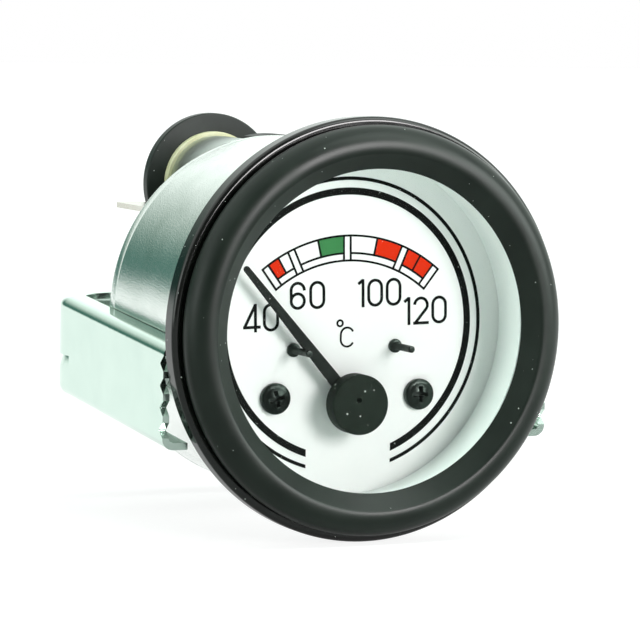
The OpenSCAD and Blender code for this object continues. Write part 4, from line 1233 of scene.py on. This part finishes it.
@dataclass
class RearFittings:
    """The moulded terminal plate."""

    notch_gap: float = 0.5
    edge: float = 0.35

    def build(self) -> None:
        """Makes the terminal plate, cut away for the lamp holder."""
        box = extent("terminal_plate")
        back = box.high.y
        plate_front = extent("case_can").high.y
        radius = box.size.x / 2
        centre = Vector((box.centre.x, box.centre.z))
        lamp = extent("lamp_sleeve")
        hole = Vector((lamp.centre.x, lamp.centre.z))
        clear = lamp.size.x / 2 + self.notch_gap
        outline = [(centre.x + radius * math.cos(a), centre.y + radius * math.sin(a))
                   for a in (2 * math.pi * k / 160 for k in range(160))]
        piece = extruded("terminal_base", outline, plate_front, back)
        tool = turned("clearance", [(0, plate_front - 1), (clear, plate_front - 1), (clear, back + 1),
                                    (0, back + 1)], (hole.x, hole.y), 96)
        carve(piece, [tool])
        soften(piece, self.edge, 50)
        fit(even_shading(piece), "case", "terminal_black", "terminal_plate")


@dataclass
class LampHolder:
    """The push-in lamp holder: grey neck, pale collar and black cap."""

    neck_front_edge: float = 0.3
    bore: float = 3.6
    cap_edge: float = 0.45
    cap_boss: float = 5.2
    cap_boss_rise: float = 0.8

    def build(self) -> None:
        """Makes the neck, the collar and the cap."""
        sleeve, collar, cap = extent("lamp_sleeve"), extent("lamp_collar"), extent("lamp_cap")
        centre = (sleeve.centre.x, sleeve.centre.z)
        neck = sleeve.size.x / 2
        spigot = extent("bulb_base").size.x / 2 + 1.0
        shoulder = extent("case_can").high.y + 0.05
        bore_end = sleeve.high.y - 1.5
        outline = rounded([
            (self.bore, sleeve.low.y, 0.1), (spigot, sleeve.low.y, 0.3), (spigot, shoulder, 0),
            (neck, shoulder, self.neck_front_edge), (neck, sleeve.high.y, 0.15), (0, sleeve.high.y, 0),
            (0, bore_end, 0), (self.bore, bore_end, 0.2)])
        fit(even_shading(turned("lamp_neck", outline, centre, 128)), "lamp", "sleeve_grey", "lamp_sleeve")
        radius = collar.size.x / 2
        ring = rounded([(0, collar.low.y, 0), (radius, collar.low.y, 0.25), (radius, collar.high.y, 0.1),
                        (0, collar.high.y, 0)])
        fit(even_shading(turned("lamp_collar_ring", ring, centre, 128)), "lamp", "collar_cream", "lamp_collar")
        rim = cap.size.x / 2
        disc = rounded([(0, cap.low.y, 0), (rim, cap.low.y, 0.25), (rim, cap.high.y, self.cap_edge),
                        (self.cap_boss + 1.2, cap.high.y, 0.5), (self.cap_boss + 0.7, cap.high.y - 0.45, 0.2),
                        (self.cap_boss + 0.2, cap.high.y - 0.45, 0.2),
                        (self.cap_boss, cap.high.y + self.cap_boss_rise, 0.3), (0, cap.high.y + self.cap_boss_rise, 0)])
        fit(even_shading(turned("lamp_cap_disc", disc, centre, 160)), "lamp", "cap_black", "lamp_cap")


# The studio


@dataclass
class Shot:
    """The photograph's camera, fitted to the gauge: angles in degrees, offsets in millimetres."""

    azimuth: float = -24.80784911
    elevation: float = 5.29938911
    roll: float = 1.09997566
    across: float = 5.87705944
    up: float = -1.19263417
    distance: float = 493.72714196
    focal_pixels: float = 3500.05
    frame_pixels: float = 640.0
    sensor: float = 36.0

    def build(self) -> None:
        """Makes the scene's camera."""
        a, e, t = (math.radians(v) for v in (self.azimuth, self.elevation, self.roll))
        forward = -Vector((math.sin(a) * math.cos(e), -math.cos(a) * math.cos(e), math.sin(e)))
        level = forward.cross(Vector((0, 0, 1))).normalized()
        rise = level.cross(forward)
        right = level * math.cos(t) + rise * math.sin(t)
        top = rise * math.cos(t) - level * math.sin(t)
        place = (-right * self.across - top * self.up - forward * self.distance) * MM
        data = bpy.data.cameras.new("camera")
        data.sensor_width = self.sensor
        data.lens = self.focal_pixels / self.frame_pixels * self.sensor
        data.clip_start, data.clip_end = 0.01, 50.0
        camera = bpy.data.objects.new("camera", data)
        bpy.context.scene.collection.objects.link(camera)
        turn = Matrix((right, top, -forward)).transposed().to_4x4()
        camera.matrix_world = Matrix.Translation(place) @ turn
        bpy.context.scene.camera = camera


@dataclass
class Studio:
    """A white floor, a white surround with a strong ring of light at the sides, and one soft lamp.

    The light is fitted to the photograph's one view and isn't plain: side_fill is far above 1, so zinc
    that is seen from the side or the top burns out.
    """

    floor_gap: float = 0.02
    fill: float = 0.16
    front_fill: float = 0.03
    side_fill: float = 12.5
    front_gloom: float = 0.12
    floor_light: float = 1.2
    windows: tuple[tuple[tuple[float, float, float], float, float], ...] = (
        ((0.74, -0.63, 0.25), 24.0, 6.5), ((0.4, -0.43, 0.81), 26.0, 2.8), ((-0.97, -0.1, 0.15), 20.0, 1.6),
        ((0.4, 0.87, 0.28), 35.0, 0.35))

    def build(self) -> None:
        """Makes the floor, the surround and the lamps, and sets the view."""
        bpy.context.scene.view_settings.view_transform = "Standard"
        self.floor()
        self.world()
        self.softbox("key", (0.234, -0.682, 0.203), 0.3, 3.95, (1.0, 0.965, 0.975))

    def floor(self) -> None:
        """A wide pale floor under the lowest point, which keeps the gauge's shadow. What gloss sees of the floor in
        front of the gauge is painted darker, a painted shadow of the bezel.
        """
        low = CAD_BOX[0].z / MM - self.floor_gap
        side = 3000.0
        corners = [(-side, -side, low), (side, -side, low), (side, side, low), (-side, side, low)]
        piece = from_faces("floor", corners, [[0, 1, 2, 3]])
        material = bpy.data.materials.new("white_sweep")
        material.use_nodes = True
        tree = material.node_tree
        tree.nodes.clear()
        paper = add(tree, "ShaderNodeBsdfDiffuse", {"Color": (0.9, 0.9, 0.9, 1.0)})
        coords = add(tree, "ShaderNodeTexCoord")
        parts = add(tree, "ShaderNodeSeparateXYZ", links={"Vector": coords.outputs["Object"]})
        slant = add(tree, "ShaderNodeMath", {1: 0.5}, {0: parts.outputs["X"], 2: parts.outputs["Y"]},
                    operation="MULTIPLY_ADD")
        # painted shadow: the floor's glow that glossy rays see is dimmed in front of the gauge, where the bezel's shade
        # would fall
        painted_shadow_in_gloss = add(tree, "ShaderNodeMapRange", {"From Min": -0.015, "From Max": 0.03,
                                                 "To Min": self.floor_light * 0.1, "To Max": self.floor_light},
                    {"Value": slant.outputs["Value"]})
        rays = add(tree, "ShaderNodeLightPath")
        power = add(tree, "ShaderNodeMix", {2: self.floor_light}, {0: rays.outputs["Is Glossy Ray"],
                                                                   3: painted_shadow_in_gloss.outputs["Result"]}, data_type="FLOAT")
        bright = add(tree, "ShaderNodeEmission", {"Color": (1.0, 1.0, 1.0, 1.0)}, {"Strength": power.outputs[0]})
        lit = add(tree, "ShaderNodeMixShader", {"Fac": 0.7}, {1: paper.outputs["BSDF"], 2: bright.outputs["Emission"]})
        seen = add(tree, "ShaderNodeMath", links={0: rays.outputs["Is Camera Ray"], 1: rays.outputs["Is Glossy Ray"]},
                   operation="MAXIMUM")
        choice = add(tree, "ShaderNodeMixShader", links={"Fac": seen.outputs["Value"], 1: paper.outputs["BSDF"],
                                                         2: lit.outputs["Shader"]})
        add(tree, "ShaderNodeOutputMaterial", links={"Surface": choice.outputs["Shader"]})
        piece.data.materials.append(material)

    def world(self) -> None:
        """The surround: white to the eye, strong light from the sides, and its own picture in gloss.

        The ring of strong light stands a little before the panel and lights the white wall in the bezel.
        Gloss shows a gloomy front, a rear gap at the left and the bright windows.
        """
        world = bpy.data.worlds.new("surround")
        bpy.context.scene.world = world
        world.use_nodes = True
        tree = world.node_tree
        tree.nodes.clear()
        rays = add(tree, "ShaderNodeLightPath")
        coords = add(tree, "ShaderNodeTexCoord")
        parts = add(tree, "ShaderNodeSeparateXYZ", links={"Vector": coords.outputs["Generated"]})
        rise = add(tree, "ShaderNodeValToRGB", links={"Fac": parts.outputs["Z"]})
        white, gap = (0.93, 1.0, 0.96, 1.0), (0.06, 0.16, 0.13, 1.0)
        stops = [(0.0, white), (0.02, white), (0.075, gap), (0.2, gap), (0.29, (0.28, 0.38, 0.33, 1.0)),
                 (0.36, (0.5, 0.58, 0.53, 1.0)), (0.43, (0.8, 0.88, 0.83, 1.0)), (0.5, white)]
        ramp = rise.color_ramp
        while len(ramp.elements) < len(stops):
            ramp.elements.new(0.5)
        for element, (place, shade) in zip(ramp.elements, stops):
            element.position = place
            element.color = shade
        behind = add(tree, "ShaderNodeMapRange", {"From Min": 0.35, "From Max": 0.65}, {"Value": parts.outputs["Y"]})
        left = add(tree, "ShaderNodeMapRange", {"From Min": 0.2, "From Max": -0.1}, {"Value": parts.outputs["X"]})
        corner = add(tree, "ShaderNodeMath", links={0: behind.outputs["Result"], 1: left.outputs["Result"]},
                     operation="MULTIPLY")
        band = add(tree, "ShaderNodeMix", data_type="RGBA")
        band.inputs[6].default_value = white
        tree.links.new(corner.outputs["Value"], band.inputs[0])
        tree.links.new(rise.outputs["Color"], band.inputs[7])
        ahead = add(tree, "ShaderNodeMapRange", {"From Min": -0.6, "From Max": 0.25, "To Min": self.front_gloom,
                                                 "To Max": 1.05}, {"Value": parts.outputs["Y"]},
                    interpolation_type="SMOOTHSTEP")
        strength = ahead.outputs["Result"]
        for way, spread, gain in self.windows:
            strength = self.window(tree, coords.outputs["Generated"], strength, Vector(way), spread, gain)
        seen = add(tree, "ShaderNodeBackground", {"Color": (1.0, 1.0, 1.0, 1.0), "Strength": 1.0})
        mirrored = add(tree, "ShaderNodeBackground", {}, {"Color": band.outputs[2], "Strength": strength})
        facing = add(tree, "ShaderNodeMapRange", {"From Min": -0.9, "From Max": -0.35, "To Min": self.front_fill,
                                                  "To Max": self.fill}, {"Value": parts.outputs["Y"]})
        before = add(tree, "ShaderNodeMapRange", {"From Min": -0.28, "From Max": -0.23, "To Max": self.side_fill},
                     {"Value": parts.outputs["Y"]})
        after = add(tree, "ShaderNodeMapRange", {"From Min": -0.17, "From Max": -0.11, "To Min": 1.0, "To Max": 0.0},
                    {"Value": parts.outputs["Y"]})
        sides = add(tree, "ShaderNodeMath", links={0: before.outputs["Result"], 1: after.outputs["Result"],
                                                   2: facing.outputs["Result"]}, operation="MULTIPLY_ADD")
        plain = add(tree, "ShaderNodeBackground", {"Color": (0.87, 1.0, 0.94, 1.0)},
                    {"Strength": sides.outputs["Value"]})
        glossy = add(tree, "ShaderNodeMixShader", links={"Fac": rays.outputs["Is Glossy Ray"],
                                                         1: plain.outputs["Background"],
                                                         2: mirrored.outputs["Background"]})
        direct = add(tree, "ShaderNodeMath", links={0: rays.outputs["Is Camera Ray"],
                                                    1: rays.outputs["Is Transmission Ray"]}, operation="MAXIMUM")
        shown = add(tree, "ShaderNodeMixShader", links={"Fac": direct.outputs["Value"], 1: glossy.outputs["Shader"],
                                                        2: seen.outputs["Background"]})
        add(tree, "ShaderNodeOutputWorld", links={"Surface": shown.outputs["Shader"]})

    @staticmethod
    def window(tree: bpy.types.NodeTree, where: bpy.types.NodeSocket, under: bpy.types.NodeSocket,
               way: Vector, spread: float, gain: float) -> bpy.types.NodeSocket:
        """Adds a soft bright window to what gloss shows of the tent.

        Args:
            tree: The world's tree.
            where: The direction that is looked up.
            under: The strength without the window.
            way: The direction of the window's middle.
            spread: Its half width in degrees.
            gain: The strength that it adds at its middle.

        Returns:
            The strength with the window.
        """
        near = add(tree, "ShaderNodeVectorMath", {1: way.normalized()}, {0: where}, operation="DOT_PRODUCT")
        shape = add(tree, "ShaderNodeMapRange", {"From Min": math.cos(math.radians(spread)), "From Max": 1.0,
                                                 "To Max": gain}, {"Value": near.outputs["Value"]},
                    interpolation_type="SMOOTHSTEP")
        total = add(tree, "ShaderNodeMath", links={0: shape.outputs["Result"], 1: under}, operation="ADD")
        return total.outputs["Value"]

    def softbox(self, name: str, place: Sequence[float], size: float, watts: float,
                colour: tuple[float, float, float]) -> None:
        """A square soft lamp that faces the gauge.

        Args:
            name: The lamp's name.
            place: Where it stands, in metres.
            size: Its side in metres.
            watts: Its power.
            colour: Its light's linear colour.
        """
        data = bpy.data.lights.new(name, "AREA")
        data.shape = "SQUARE"
        data.size = size
        data.energy = watts
        data.color = colour
        lamp = bpy.data.objects.new(name, data)
        lamp.location = place
        lamp.rotation_mode = "QUATERNION"
        lamp.rotation_quaternion = Vector(place).to_track_quat("Z", "Y")
        bpy.context.scene.collection.objects.link(lamp)


def main() -> None:
    """Builds the shot, the gauge and the studio."""
    logging.basicConfig(level=logging.INFO, format="%(name)s: %(message)s")
    Shot().build()
    WARDROBE.dress_frame(frame["record"], frame["nodes"])
    for assembly in (CaseAndBezel(), DialAndPointer(), ClampBracket(), Fasteners(), RearFittings(), LampHolder(),
                     Studio()):
        assembly.build()


if __name__ == "__main__":
    main()
